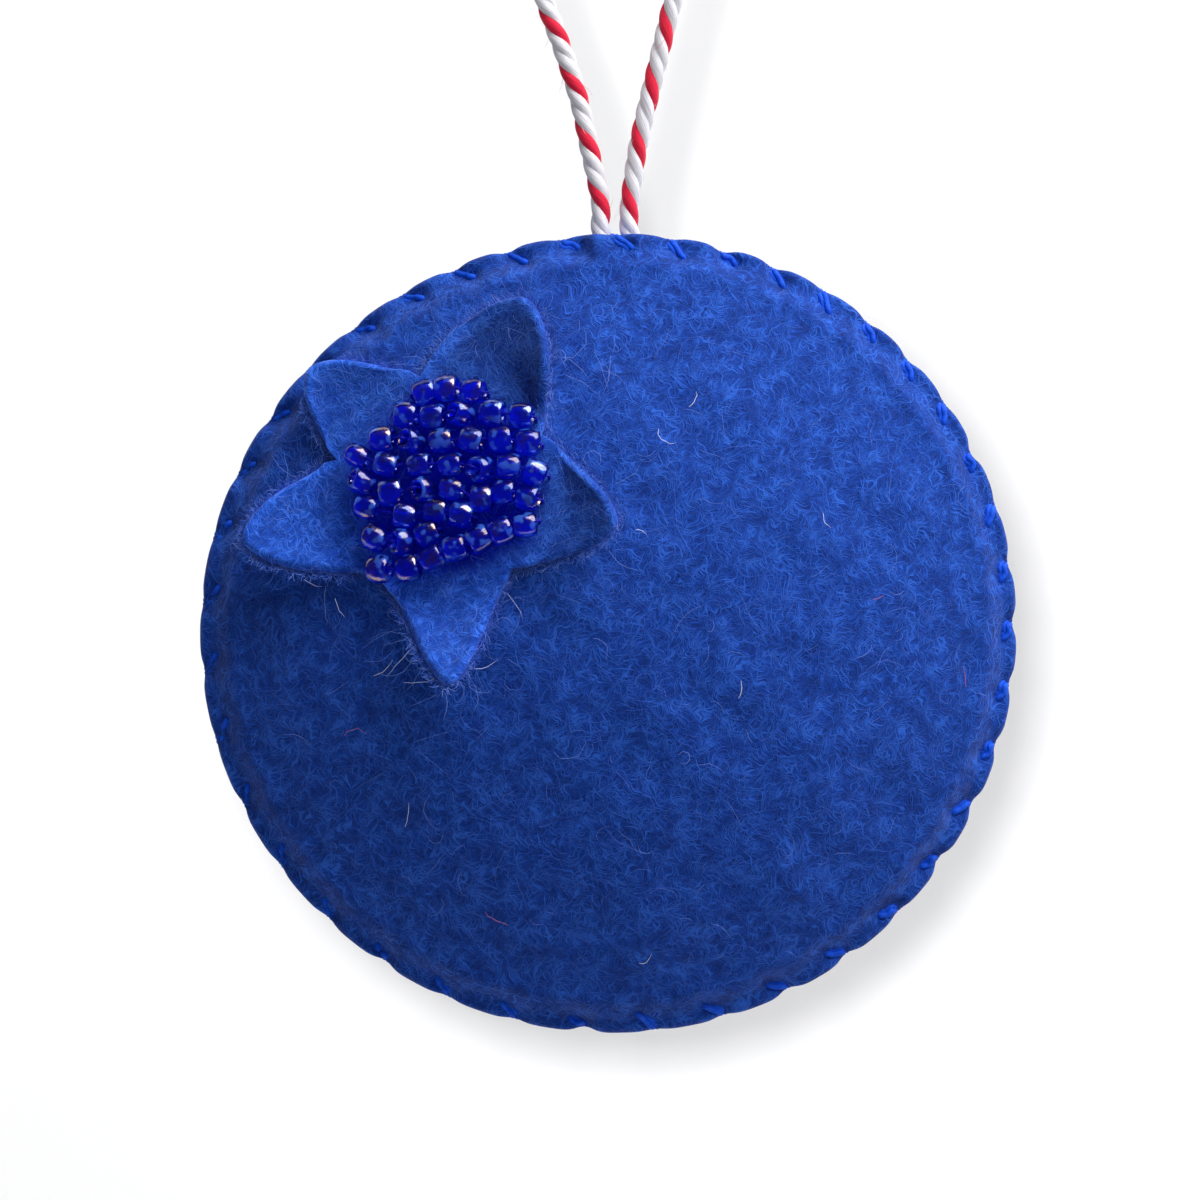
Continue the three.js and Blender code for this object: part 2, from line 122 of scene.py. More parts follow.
def keep(piece, name, values):
    """Stores a number or a place for each point of a piece, for its material"""
    kind, field = ("FLOAT", "value") if np.ndim(values) == 1 else ("FLOAT_VECTOR", "vector")
    piece.data.attributes.new(name, kind, "POINT").data.foreach_set(field, np.ravel(values))


def on_berry(piece, node):
    """Makes a piece swing with the berry and hides the CAD node that it stands for"""
    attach(piece, "berry")
    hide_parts(node)


print("points in millimetres become metres times", MM)

# %% Lines and tubes


def full_turn(count):
    """Even angles once round"""
    return np.linspace(0, 2 * np.pi, count, endpoint=False)


def run_along(line):
    """How far along a line each of its points lies"""
    return np.concatenate([[0], np.cumsum(np.linalg.norm(np.diff(line, axis=0), axis=1))])


def frames(paths):
    """Two directions square to each path at each of its points"""
    way = np.gradient(paths, axis=1)
    way /= np.linalg.norm(way, axis=2, keepdims=True)
    carried = np.where(np.abs(way[:, 0, 1:2]) < 0.9, [[0.0, 1.0, 0.0]], [[1.0, 0.0, 0.0]])
    side = np.empty_like(way)
    for step in range(paths.shape[1]):
        along = (carried * way[:, step]).sum(axis=1, keepdims=True)
        carried = carried - along * way[:, step]
        carried /= np.linalg.norm(carried, axis=1, keepdims=True)
        side[:, step] = carried
    return side, np.cross(way, side)


def tubes(paths, radii, sides):
    """Points and quads of round tubes along paths, an array of lines by points by xyz"""
    side, up = frames(paths)
    turn = full_turn(sides)[:, None]
    ring = np.cos(turn) * side[:, :, None] + np.sin(turn) * up[:, :, None]
    points = paths[:, :, None] + radii[:, :, None, None] * ring
    index = np.arange(points.size // 3).reshape(points.shape[:3])
    near, far = index[:, :-1], index[:, 1:]
    quads = np.stack([near, np.roll(near, -1, 2), np.roll(far, -1, 2), far], axis=-1)
    return points.reshape(-1, 3), quads.reshape(-1, 4).tolist()


print("steps of a sixth of a turn:", full_turn(6).round(2).tolist())

# %% Smooth paths and closed skins


def smooth_path(points, step):
    """A smooth line through the points, cut into even steps"""
    points = np.asarray(points, float)
    at = run_along(points)
    slope = np.gradient(points, at, axis=0)
    fine = np.linspace(0, at[-1], 8 * len(points) * max(2, int(at[-1] / step / len(points))))
    i = np.clip(np.searchsorted(at, fine, side="right") - 1, 0, len(at) - 2)
    span = (at[i + 1] - at[i])[:, None]
    t = (fine - at[i])[:, None] / span
    line = (
        (2 * t**3 - 3 * t**2 + 1) * points[i]
        + (t**3 - 2 * t**2 + t) * span * slope[i]
        + (3 * t**2 - 2 * t**3) * points[i + 1]
        + (t**3 - t**2) * span * slope[i + 1]
    )
    run = run_along(line)
    even = np.linspace(0, run[-1], max(2, round(run[-1] / step) + 1))
    return np.stack([np.interp(even, run, line[:, axis]) for axis in range(3)], axis=1)


def ring_faces(rings, size, flip):
    """Faces of a closed skin: a pole, rings of one size, and a pole"""
    index = 1 + np.arange(rings * size).reshape(rings, size)
    near, far = index[:-1], index[1:]
    quads = np.stack([near, far, np.roll(far, -1, 1), np.roll(near, -1, 1)], axis=-1)
    first, last = index[0], index[-1]
    end = 1 + rings * size
    start_fan = np.stack([np.zeros(size, int), first, np.roll(first, -1)], axis=-1)
    end_fan = np.stack([last, np.full(size, end), np.roll(last, -1)], axis=-1)
    faces = quads.reshape(-1, 4).tolist() + start_fan.tolist() + end_fan.tolist()
    return [face[::-1] for face in faces] if flip else faces


print("10 mm in 1 mm steps:", len(smooth_path([(0, 0, 0), (4, 0, 0), (10, 0, 0)], 1)), "points")

# %% [markdown]
# ## The camera
# The photograph looks straight at the berry from some way off: both sides of the disc look alike and
# nothing leans. A long lens one metre away gives that. The frame is as wide as the photograph, 1200
# pixels of 0.0934 mm, a scale worked out from the seed beads and the twine.

# %% The camera
PIXEL = 0.0934
PHOTO_WIDTH = 1200 * PIXEL
VIEW_MIDDLE = (-0.96, 0.0, -109.2)
CAMERA_AWAY = 1000.0

camera = bpy.data.objects.new("camera", bpy.data.cameras.new("camera"))
camera.location = Vector((VIEW_MIDDLE[0], -CAMERA_AWAY, VIEW_MIDDLE[2])) * MM
camera.rotation_euler = (math.radians(90), 0, 0)
camera.data.lens = camera.data.sensor_width * CAMERA_AWAY / PHOTO_WIDTH
bpy.context.collection.objects.link(camera)
bpy.context.scene.camera = camera
bpy.context.scene.view_settings.view_transform = "Standard"
print("lens of", round(camera.data.lens), "mm")

# %% [markdown]
# ## Twine
# Baker's twine is three cotton yarns laid round each other, here one red and two white, so a red
# stripe winds round it. A striped cylinder would look flat close by; three real yarns give the bumpy
# outline and the dark grooves between them. The yarns wind to the left, so the stripes lean like the
# middle stroke of an S. Each point also keeps where it lies on its untwisted yarn, so that a material
# can draw fine fibres along it.

# %% Twine route and yarns
# Heights on the route count from the inside top of the loop, half a twine under the twine's middle.
TWINE = 1.8
TWINE_PITCH = 5.555
TWINE_STEP = 0.22
STRIPES_AHEAD = 2.2
FIBRE_SPIN = 1.5
YARNS_APART = 40.0
LEFT_END = -0.83
LOOP_ROUTE = [
    (-0.9, -73.1), (-1.3, -70.9), (-2, -67.7), (-2.9, -63.5), (-4.3, -59.1), (-6.2, -53.9),
    (-8.2, -46.9), (-10.2, -38.9), (-11.9, -29.9), (-12.6, -20.9), (-11.6, -11.9), (-8, -3.9),
    (-4.2, -0.7), (0, 0), (4.2, -0.7), (8, -3.9), (11.6, -11.9), (12.6, -20.9), (11.9, -29.9),
    (10.1, -38.9), (7.9, -46.9), (5.9, -53.9), (4.6, -59.2), (3.5, -63.7), (2.6, -67.7),
    (2.1, -70.9), (1.8, -73.1),
]
INTO_SEAM = {"left": [(0.4, -78.55), (LEFT_END, -76.0)], "right": [(1.87, -76.0), (3.1, -78.55)]}


def yarn_tubes(lines, radius, sides, spin):
    """Yarns along lines, and each point's place on its untwisted yarn, in millimetres"""
    points, faces = tubes(lines, np.full(lines.shape[:2], radius), sides)
    run = np.stack([run_along(line) for line in lines])[..., None]
    turn = full_turn(sides) + 2 * np.pi * run / spin
    number = YARNS_APART * np.arange(len(lines))[:, None, None]
    lay = np.stack([radius * np.cos(turn), radius * np.sin(turn), run + number + 0 * turn], axis=-1)
    return points, faces, lay.reshape(-1, 3)


def laid_yarns(path, yarns, pitch, offset, radius, sides, ahead=0.0):
    """Yarns laid round a path, left-handed, their stripes moved towards the start by a length"""
    side, up = frames(path[None])
    start = 2 * np.pi * np.arange(yarns)[:, None] / yarns
    turn = (start - 2 * np.pi * (run_along(path) + ahead) / pitch)[:, :, None]
    lines = path + offset * (np.cos(turn) * side + np.sin(turn) * up)
    return yarn_tubes(lines, radius, sides, FIBRE_SPIN * pitch)


route = INTO_SEAM["left"] + LOOP_ROUTE + INTO_SEAM["right"]
twine_path = smooth_path([(x, 0, z + TWINE / 2) for x, z in route], TWINE_STEP)
print("twine from end to end:", round(run_along(twine_path)[-1], 1), "mm")

# %% [markdown]
# Cotton is matt, with fine parallel fibres along each yarn. A stretched noise along the yarn gives
# streaks that darken the colour a little and raise a shallow bump. Real cotton fibres are about
# 0.02 mm wide; they are drawn 0.12 mm wide here, or they wouldn't show.

# %% Cotton materials
COTTON_FIBRE = (0.12, 0.12, 2.5)


def spun_yarn(name, pale, dark, fibre, depth, roughness, sheen):
    """Spun fibres: streaks along the yarn in two tones, with a bump of that depth in mm"""
    material, tree = new_material(name)
    lay = add_node(tree, "ShaderNodeAttribute", {"attribute_name": "lay"}).outputs["Vector"]
    spread = add_node(
        tree, "ShaderNodeMapping", {"vector_type": "TEXTURE", "Scale": fibre}, {"Vector": lay},
    )
    streak = add_node(
        tree, "ShaderNodeTexNoise", {"Scale": 1.0, "Detail": 3.0, "Roughness": 0.65}, {"Vector": spread},
    )
    tones = add_node(tree, "ShaderNodeValToRGB", {"stops": {0.3: dark, 0.65: pale}}, {"Fac": streak})
    bump = add_node(
        tree, "ShaderNodeBump", {"Strength": 0.8, "Distance": depth * MM}, {"Height": streak},
    )
    add_node(
        tree, "Principled BSDF",
        {"Roughness": roughness, "Specular IOR Level": 0.25, "Sheen Weight": sheen, "Sheen Roughness": 0.4},
        {"Base Color": tones, "Normal": bump},
    )
    return material


white_cotton = spun_yarn(
    "bleached_cotton_yarn", "#faf9fc", "#d2cedb", COTTON_FIBRE, depth=0.12, roughness=0.9, sheen=0.3,
)
red_cotton = spun_yarn(
    "red_dyed_cotton_yarn", "#f62f4c", "#d0143a", COTTON_FIBRE, depth=0.12, roughness=0.85, sheen=0.2,
)
print("materials:", white_cotton.name, red_cotton.name)

points, faces, lay = laid_yarns(
    twine_path, 3, TWINE_PITCH, offset=0.31, radius=0.61, sides=16, ahead=STRIPES_AHEAD,
)
twine = add_piece("twine", points, faces, red_cotton, white_cotton)
keep(twine, "lay", lay)
is_white = np.repeat([0, 1, 1], len(faces) // 3)
twine.data.polygons.foreach_set("material_index", is_white)
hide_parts("twine_loop")
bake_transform(twine)
print("twine quads:", len(faces))

# %% [markdown]
# ## Backdrop and light
# The photograph has a white ground and a soft shadow close to the right and lower edge of the berry. A
# white paper sweep stands behind it, far enough back for the berry to swing, and is seen from the front
# only, so that views from behind aren't blocked. One lamp could do it all, but then the shadow and the
# shading of the felt would hang on one setting. So a small lamp beside the camera lights the paper
# alone and throws the narrow shadow, a large soft box above and to the right lights the top of the
# felt more than the bottom, and a weak fill in front opens the dark side. The fill is kept out of
# reflections and the room is dim in them, so that the glass stays deep.

# %% White paper sweep
WALL_BEHIND = 100.0
WALL_TOP = 500.0
FLOOR = -420.0
FLOOR_FRONT = -80.0
SWEEP_RADIUS = 60.0
SWEEP_HALF = 700.0
SWEEP_STEPS = 13

profile = [(FLOOR_FRONT, FLOOR)]
for turn in np.linspace(math.pi / 2, 0, SWEEP_STEPS):
    back = WALL_BEHIND - SWEEP_RADIUS * (1 - math.cos(turn))
    profile.append((back, FLOOR + SWEEP_RADIUS * (1 - math.sin(turn))))
profile.append((WALL_BEHIND, WALL_TOP))
sweep_points = [(x, y, z) for y, z in profile for x in (-SWEEP_HALF, SWEEP_HALF)]
sweep_faces = [(2 * i, 2 * i + 1, 2 * i + 3, 2 * i + 2) for i in range(len(profile) - 1)]
print("sweep", WALL_BEHIND, "mm behind the seam, faces:", len(sweep_faces))

# %% Paper material
# Paper is matt, with a grain about 1 mm wide; its glow, seen but not cast, brings the ground to white.
PAPER_GLOW = 0.13
paper, tree = new_material("white_studio_paper")
place = add_node(tree, "ShaderNodeTexCoord").outputs["Object"]
grain = add_node(tree, "ShaderNodeTexNoise", {"Scale": 900.0, "Detail": 2.0}, {"Vector": place})
bump = add_node(tree, "ShaderNodeBump", {"Strength": 0.1, "Distance": 0.05 * MM}, {"Height": grain})
rays = add_node(tree, "ShaderNodeLightPath").outputs
seen = rays["Is Camera Ray"]
for ray in ("Is Glossy Ray", "Is Transmission Ray"):
    seen = add_node(tree, "ShaderNodeMath", {"operation": "MAXIMUM"}, {0: seen, 1: rays[ray]})
glow = add_node(tree, "ShaderNodeMath", {"operation": "MULTIPLY", 1: PAPER_GLOW}, {0: seen})
front = add_node(
    tree, "Principled BSDF",
    {
        "Base Color": linear("#d5d5d5"), "Roughness": 0.9, "Specular IOR Level": 0.0,
        "Emission Color": linear("#ffffff"),
    },
    {"Normal": bump, "Emission Strength": glow},
)
back = add_node(tree, "ShaderNodeNewGeometry").outputs["Backfacing"]
clear = add_node(tree, "ShaderNodeBsdfTransparent")
one_sided = add_node(tree, "ShaderNodeMixShader", links={0: back, 1: front, 2: clear})
add_node(tree, "Material Output", links={"Surface": one_sided})

sweep = add_piece("paper_sweep", sweep_points, sweep_faces, paper)
print("paper:", paper.name, "first normal", tuple(sweep.data.polygons[0].normal))

# %% Lamps
# A level of 1 shows white felt facing the lamp as white. Distances and sizes are in metres.


def add_lamp(name, azimuth, elevation, distance, size, level):
    """A square soft lamp that looks at the berry from a direction seen from the berry"""
    lamp = bpy.data.objects.new(name, bpy.data.lights.new(name, "AREA"))
    lamp.data.size = size
    lamp.data.energy = level * (math.pi * distance) ** 2
    across, up = math.radians(azimuth), math.radians(elevation)
    way = Vector((math.sin(across) * math.cos(up), -math.cos(across) * math.cos(up), math.sin(up)))
    lamp.location = Vector(VIEW_MIDDLE) * MM + way * distance
    lamp.rotation_euler = way.to_track_quat("Z", "Y").to_euler()
    bpy.context.collection.objects.link(lamp)
    return lamp


add_lamp("soft_box_above", azimuth=59.5, elevation=53.5, distance=1.1, size=1.1, level=2.02)
front_fill = add_lamp("front_fill", azimuth=5, elevation=-10, distance=1.0, size=0.6, level=0.18)
front_fill.visible_glossy = False
shadow_lamp = add_lamp("shadow_lamp", azimuth=-1.6, elevation=1.7, distance=1.0, size=0.047, level=0.66)
shadow_lamp.light_linking.receiver_collection = bpy.data.collections.new("lit_by_shadow_lamp")
shadow_lamp.light_linking.receiver_collection.objects.link(sweep)

# %% Surrounding light
AMBIENT = 0.13
DARK_ROOM = 0.02
world = bpy.data.worlds.new("white_room")
world.use_nodes = True
bpy.context.scene.world = world
tree = world.node_tree
rays = add_node(tree, "ShaderNodeLightPath").outputs
room_level = add_node(
    tree, "ShaderNodeMapRange", {"To Min": AMBIENT, "To Max": DARK_ROOM}, {"Value": rays["Is Glossy Ray"]},
)
level = add_node(
    tree, "ShaderNodeMath", {"operation": "MAXIMUM"}, {0: room_level, 1: rays["Is Camera Ray"]},
)
add_node(tree, "Background", {"Color": linear("#ffffff")}, {"Strength": level})
print("room level:", AMBIENT, "and in reflections:", DARK_ROOM)

# %% [markdown]
# ## The round felts
# Two felt discs are sewn together round the edge and stuffed, so each swells from the seam to a broad
# dome. The shape could come from a cloth simulation, but felt is thick and stiff and hardly wrinkles,
# and the CAD model already has the dome as a formula. The same formula is drawn here far finer, and
# small moves are added that the needle makes: the rim is drawn in at each stitch, the felt bulges
# beside it, and each stitch lies in a trench of its own.

# %% Outline of the felts
DISC_MIDDLE = np.array([0, 0, -112.25])
DISC_RADIUS = 37.7
OVAL = 0.43
OVAL_WAY = math.radians(9)
LOBES = 0.19
LOBE_WAY = math.radians(54)


def at_angle(angle, radius):
    """x and z at an angle and a radius"""
    return radius * np.cos(angle), radius * np.sin(angle)


def rim_radius(angle):
    """Radius of the cut outline: nearly round, a little oval and lobed"""
    oval = OVAL * np.cos(2 * (angle - OVAL_WAY))
    return DISC_RADIUS + oval + LOBES * np.cos(3 * (angle - LOBE_WAY))


def rim_depth(x, z):
    """How far in from the rim a place lies"""
    return rim_radius(np.arctan2(z, x)) - np.hypot(x, z)


print("width of the disc:", round(float(rim_radius(0.0) + rim_radius(math.pi)), 1), "mm")

# %% Swell of the felts
FELT = 1.2
PUFF = 11.4
LIP = (0.3, 3.4)
SEAM_GAP = 0.3
PROBE = 0.5
GAPE = 1.2
GAPE_MIDDLE = 0.52
GAPE_WIDTH = 1.9
GAPE_EASE = 1.2


def smoothstep(value, low, high):
    """Eased share from 0 at low to 1 at high"""
    share = np.clip((value - low) / (high - low), 0, 1)
    return share * share * (3 - 2 * share)


def swell(depth):
    """Height of the dome from how far in from the rim a point lies"""
    inside = np.clip(depth / DISC_RADIUS, 0, 1)
    return PUFF * (1 - (1 - inside) ** 2) * smoothstep(depth, *LIP)


def inner_rise(x, z):
    """Height of the felt's inside above the seam; the lips part where the twine comes out"""
    away = np.abs(x - GAPE_MIDDLE)
    lips = np.where(z > 0, GAPE * (1 - smoothstep(away, GAPE_WIDTH, GAPE_WIDTH + GAPE_EASE)), 0)
    return SEAM_GAP / 2 + np.maximum(swell(rim_depth(x, z)), lips)


def outer_rise(x, z):
    """Height of the felt's outside above the seam"""
    depth = rim_depth(x, z)
    slope = (swell(depth + PROBE) - swell(depth - PROBE)) / (2 * PROBE)
    return inner_rise(x, z) + FELT * np.hypot(1, slope)


print("dome height:", round(float(outer_rise(0.0, 0.0)), 2), "mm")

# %% Where the needle goes
# Each front stitch runs from its crossing at the rim to its needle hole, a little further clockwise.
# The stitches stand closer together on one side than on the other, and those on the left are tighter.
STITCHES = 40
STITCH_SLANT = 2.1
STITCH_DEPTH = 1.65
EDGE_DIP = 0.65
DIP_WIDTH = 1.1
FIRST_HOLE = 87.1
DRIFT = 8
DRIFT_START = 3

stitch_turn = 2 * np.pi / STITCHES
stitch_number = np.arange(STITCHES + 1)
drift = np.sin(stitch_turn * (stitch_number - DRIFT_START)) + np.sin(stitch_turn * DRIFT_START)
hole_angle = np.radians(FIRST_HOLE + DRIFT * drift) - stitch_turn * stitch_number
crossing_angle = hole_angle + math.radians(STITCH_SLANT)
stitch_depth = STITCH_DEPTH * np.random.default_rng(8).uniform(0.75, 1.15, STITCHES)
holes = np.stack(at_angle(hole_angle[:-1], rim_radius(hole_angle[:-1]) - stitch_depth))
crossings = np.stack(at_angle(crossing_angle[:-1], rim_radius(crossing_angle[:-1]) - EDGE_DIP))
leftward = 0.5 - 0.5 * np.cos(hole_angle[:-1])
pull = np.random.default_rng(3).uniform(0.3, 1.0, STITCHES) * (1 + 0.3 * leftward)
sink = 0.5 * leftward
rim_pull = pull * (1 - 0.6 * leftward)
print("stitches:", STITCHES, "about", round(float(stitch_turn * DISC_RADIUS), 1), "mm apart")


def rim_dip(angle):
    """How far the thread draws the rim in, most where it crosses the rim"""
    away = (angle[..., None] - crossing_angle[:-1] + np.pi) % (2 * np.pi) - np.pi
    return EDGE_DIP * (rim_pull * np.exp(-((away * DISC_RADIUS / DIP_WIDTH) ** 2))).sum(axis=-1)


def stitch_bed(x, z):
    """Distance to the nearest stitch, and how tight that stitch is"""
    run = holes - crossings
    across, up = x[..., None] - crossings[0], z[..., None] - crossings[1]
    share = np.clip((across * run[0] + up * run[1]) / (run**2).sum(axis=0), 0, 1)
    away = np.hypot(across - share * run[0], up - share * run[1])
    nearest = away.argmin(axis=-1)
    return np.take_along_axis(away, nearest[..., None], -1)[..., 0], pull[nearest]


# %% Felt surface with its bulges and trenches
TRENCH = 0.8
TRENCH_WIDTH = 0.8
BULGE = 0.14
BULGE_AWAY = 1.9
HILL = 0.06
uneven_ways = np.random.default_rng(4).uniform(0, 2 * np.pi, (2, 8))
uneven_waves = np.random.default_rng(5).uniform(7, 17, 8)


def unevenness(x, z, side):
    """Slow hills of the stuffing under the felt, a few tenths of a millimetre"""
    total = 0
    for way, start, wave in zip(*uneven_ways, uneven_waves):
        run = x * np.cos(way) + z * np.sin(way)
        total = total + np.sin(2 * np.pi * run / wave + start + 2 * side)
    return HILL * total


def felt_rise(x, z, side=-1):
    """Outside height of the sewn felt, side -1 for the front and 1 for the back"""
    depth = rim_depth(x, z)
    away, tight = stitch_bed(x, z)
    trench = TRENCH * tight * np.exp(-((away / TRENCH_WIDTH) ** 2))
    bulge = BULGE * np.exp(-((away - BULGE_AWAY) ** 2)) * (1 - smoothstep(depth, 2.5, 7))
    hills = unevenness(x, z, side) * smoothstep(depth, 1, 9)
    return outer_rise(x, z) + hills + bulge - trench


middle_rise = float(felt_rise(np.zeros(1), np.zeros(1))[0])
print("front felt at its middle:", round(middle_rise, 2), "mm above the seam")

# %% Skin of one felt
RIM_DRAW = 1.6
RIM_ZONE = 8
RIM_RINGS = 26
DOME_RINGS = 24
CUT_RINGS = 9
INSIDE_DEPTHS = (FELT / 2, 1.2, 2, 3, 4, *np.linspace(5.5, 36, 12))
INSIDE_SINK = 0.1
round_angle = full_turn(720)


def ring_place(depth):
    """x and z round the disc at a depth in from the rim, with the rim drawn in at the stitches"""
    draw = rim_dip(round_angle) * np.exp(-((depth / RIM_DRAW) ** 2))
    return at_angle(round_angle, rim_radius(round_angle) * (1 - depth / DISC_RADIUS) - draw)


def sewn_felt(side):
    """Points of one felt: outside from the middle to the rim, round the cut edge, and back inside"""
    near_rim = np.linspace(FELT / 2, RIM_ZONE, RIM_RINGS)
    over_dome = DISC_RADIUS - (DISC_RADIUS - RIM_ZONE) * np.linspace(0.03, 1, DOME_RINGS)[:-1]
    rings = []
    for depth in np.concatenate([over_dome, near_rim[::-1]]):
        x, z = ring_place(depth)
        rings.append((x, felt_rise(x, z, side), z))
    for turn in np.linspace(np.pi / 2, -np.pi / 2, CUT_RINGS)[1:-1]:
        x, z = ring_place(FELT / 2 * (1 - np.cos(turn)))
        high, low = felt_rise(x, z, side), inner_rise(x, z) - INSIDE_SINK
        rings.append((x, (high + low) / 2 + (high - low) / 2 * np.sin(turn), z))
    for depth in INSIDE_DEPTHS:
        x, z = ring_place(depth)
        rings.append((x, inner_rise(x, z) - INSIDE_SINK, z))
    points = np.array(rings).transpose(0, 2, 1).reshape(-1, 3)
    outside = [[0, float(felt_rise(np.zeros(1), np.zeros(1), side)[0]), 0]]
    inside = [[0, float(inner_rise(0.0, 0.0)) - INSIDE_SINK, 0]]
    points = np.concatenate([outside, points, inside]) * (1, side, 1)
    return points + DISC_MIDDLE, ring_faces(len(rings), len(round_angle), side > 0)


def flat_cut(points, angle):
    """Where each point lay on the flat felt, by its run along the skin from the middle, in mm"""
    rings = points[1:-1].reshape(-1, len(angle), 3)
    line = np.concatenate([np.broadcast_to(points[0], (1, len(angle), 3)), rings])
    run = np.cumsum(np.linalg.norm(np.diff(line, axis=0), axis=2), axis=0)
    flat = run[..., None] * np.stack([np.cos(angle), np.sin(angle), 0 * angle], axis=-1)
    return np.pad(flat.reshape(-1, 3), ((1, 1), (0, 0)))


print("points round each felt:", len(round_angle))

# %% [markdown]
# Wool felt is a mat of short curly fibres pressed together, with no weave. Up close it is a mottled
# blue with lighter hairs in every direction and dark pores between them. A photograph could be
# projected on it, but a procedural mat works on any side: five layers of noise, each stretched along
# another direction and bent by a slower noise, make the streaks of fibres, and a slow noise makes the
# dye uneven. Each point keeps where it lay on the flat felt, so the streaks don't stretch over the
# rim. Wool fibres are about 0.03 mm wide; they lie in wisps, drawn 0.12 to 0.22 mm wide so that they
# show. The nap scatters light at grazing angles, which is what sheen is for.

# %% Wool felt material
# Its scales count per millimetre of flat felt: the curl and the dye change over about 2 mm. Two values
# that only the star keeps paint light and shade on it: one lightens or darkens it, the other paints deep
# blue shade.
FIBRE_LENGTH = 3.4
FIBRES = ((8, 0.12), (44, 0.18), (80, 0.14), (116, 0.22), (152, 0.16))
FIBRE_CURL = 2.1


def wool_felt(name, pore, body, fibre):
    """Pressed wool: uneven dye, streaks of single fibres and dark pores, with painted light and shade where
    kept
    """
    material, tree = new_material(name)
    flat = add_node(tree, "ShaderNodeAttribute", {"attribute_name": "cut"}).outputs["Vector"]
    curl = add_node(
        tree, "ShaderNodeTexNoise", {"noise_dimensions": "2D", "Scale": 0.5, "Detail": 1.0},
        {"Vector": flat},
    ).outputs["Color"]
    bent = add_node(
        tree, "ShaderNodeVectorMath", {"operation": "MULTIPLY_ADD", 1: (FIBRE_CURL,) * 3},
        {0: curl, 2: flat},
    )
    mat = None
    for way, width in FIBRES:
        turned = {"Rotation": (0, 0, math.radians(way)), "Scale": (FIBRE_LENGTH, width, 1)}
        drawn = add_node(
            tree, "ShaderNodeMapping", {"vector_type": "TEXTURE", **turned}, {"Vector": bent},
        )
        streaks = add_node(
            tree, "ShaderNodeTexNoise",
            {"noise_dimensions": "2D", "Scale": 1.0, "Detail": 1.0, "Roughness": 0.6}, {"Vector": drawn},
        )
        if mat is not None:
            streaks = add_node(tree, "ShaderNodeMath", {"operation": "MAXIMUM"}, {0: mat, 1: streaks})
        mat = streaks
    dye = add_node(
        tree, "ShaderNodeTexNoise",
        {"noise_dimensions": "2D", "Scale": 0.5, "Detail": 4.0, "Roughness": 0.7}, {"Vector": flat},
    )
    shade = add_node(tree, "ShaderNodeMath", {"operation": "MULTIPLY_ADD", 1: 0.5}, {0: dye, 2: mat})
    tones = add_node(
        tree, "ShaderNodeValToRGB", {"stops": {0.7: pore, 0.89: body, 1.0: fibre}}, {"Fac": shade},
    )
    bump = add_node(tree, "ShaderNodeBump", {"Strength": 0.8, "Distance": 0.25 * MM}, {"Height": mat})
    # Painted light and shade: a value kept at each point lightens or darkens the colour.
    lie = add_node(tree, "ShaderNodeAttribute", {"attribute_name": "lie"}).outputs["Fac"]
    level = add_node(tree, "ShaderNodeMath", {"operation": "ADD", 1: 1.0}, {0: lie})
    shade_painted = add_node(tree, "ShaderNodeHueSaturation", links={"Value": level, "Color": tones})
    # Painted deep blue shade between the beads, mixed in where the star keeps it.
    near_glass = add_node(tree, "ShaderNodeAttribute", {"attribute_name": "near_glass"}).outputs["Fac"]
    glass_shaded = add_node(
        tree, "ShaderNodeMixRGB", {"Color2": linear("#0303a0")}, {"Fac": near_glass, "Color1": shade_painted},
    )
    add_node(
        tree, "Principled BSDF",
        {
            "Roughness": 0.8, "Specular IOR Level": 0.14,
            "Sheen Weight": 0.2, "Sheen Roughness": 0.4, "Sheen Tint": linear("#cdd8ff"),
        },
        {"Base Color": glass_shaded, "Normal": bump},
    )
    return material


royal_felt = wool_felt("royal_blue_wool_felt", "#0c2d7b", "#1441a3", "#2b5ec8")
star_wool = wool_felt("petal_blue_wool_felt", "#0f358b", "#1849b1", "#366ad4")
print("felt materials:", royal_felt.name, star_wool.name)

# %% The two felts
for name, node, side in (("felt_front", "front_felt", -1), ("felt_back", "back_felt", 1)):
    points, faces = sewn_felt(side)
    felt = add_piece(name, points, faces, royal_felt)
    keep(felt, "cut", flat_cut(points, round_angle))
    on_berry(felt, node)
    print(name, "points:", len(points), "depth:", round(float(np.ptp(points[:, 1])), 1), "mm")

# %% [markdown]
# ## Calyx star
# A berry keeps the dried calyx of its flower as a little crown. Here it is a star cut from the same kind
# of felt, sewn down in the middle by the beads, with five petals that lift off the dome. It could be
# a flat shape pressed on the dome, but then no petal would throw a shadow. Past the beads each petal
# runs on at its own slope, curls up, and is cupped across; two of them are twisted as well. Painted
# shade darkens the petals towards the upper right and painted light lifts the others, a painted
# highlight lightens the cut edge, and painted deep blue shade lies between the beads. These three are
# kept at its points for the felt material.

# %% Petals and their rise
STAR_MIDDLE = (-15.2, 13.6)
STAR_TIPS = (
    {"angle": 139.7, "reach": 16.9, "lift": 0.55, "bulge": 1.2},
    {"angle": 65.2, "reach": 19.0, "lift": 0.42, "bulge": 1.5, "twist": 0.44},
    {"angle": -12.6, "reach": 16.7, "lift": 0.7, "bulge": 1.0, "twist": -0.14},
    {"angle": -88.6, "reach": 18.9, "lift": 0.9, "bulge": 0.4},
    {"angle": -164.2, "reach": 19.8, "lift": 0.6, "bulge": 1.5},
)
STAR_VALLEY = 10.0
PETAL_EASE = 2.5
PETAL_CUP = 0.035
CUP_RUN = 4
STAR_SEAT = 0.45
STAR_TOP = STAR_SEAT + FELT
BEAD_RADIUS = 1.1
LIFT_START = STAR_VALLEY + BEAD_RADIUS


def polar(angle, radius):
    """A point in the star's plane from an angle in degrees"""
    return np.array([radius * math.cos(math.radians(angle)), radius * math.sin(math.radians(angle))])


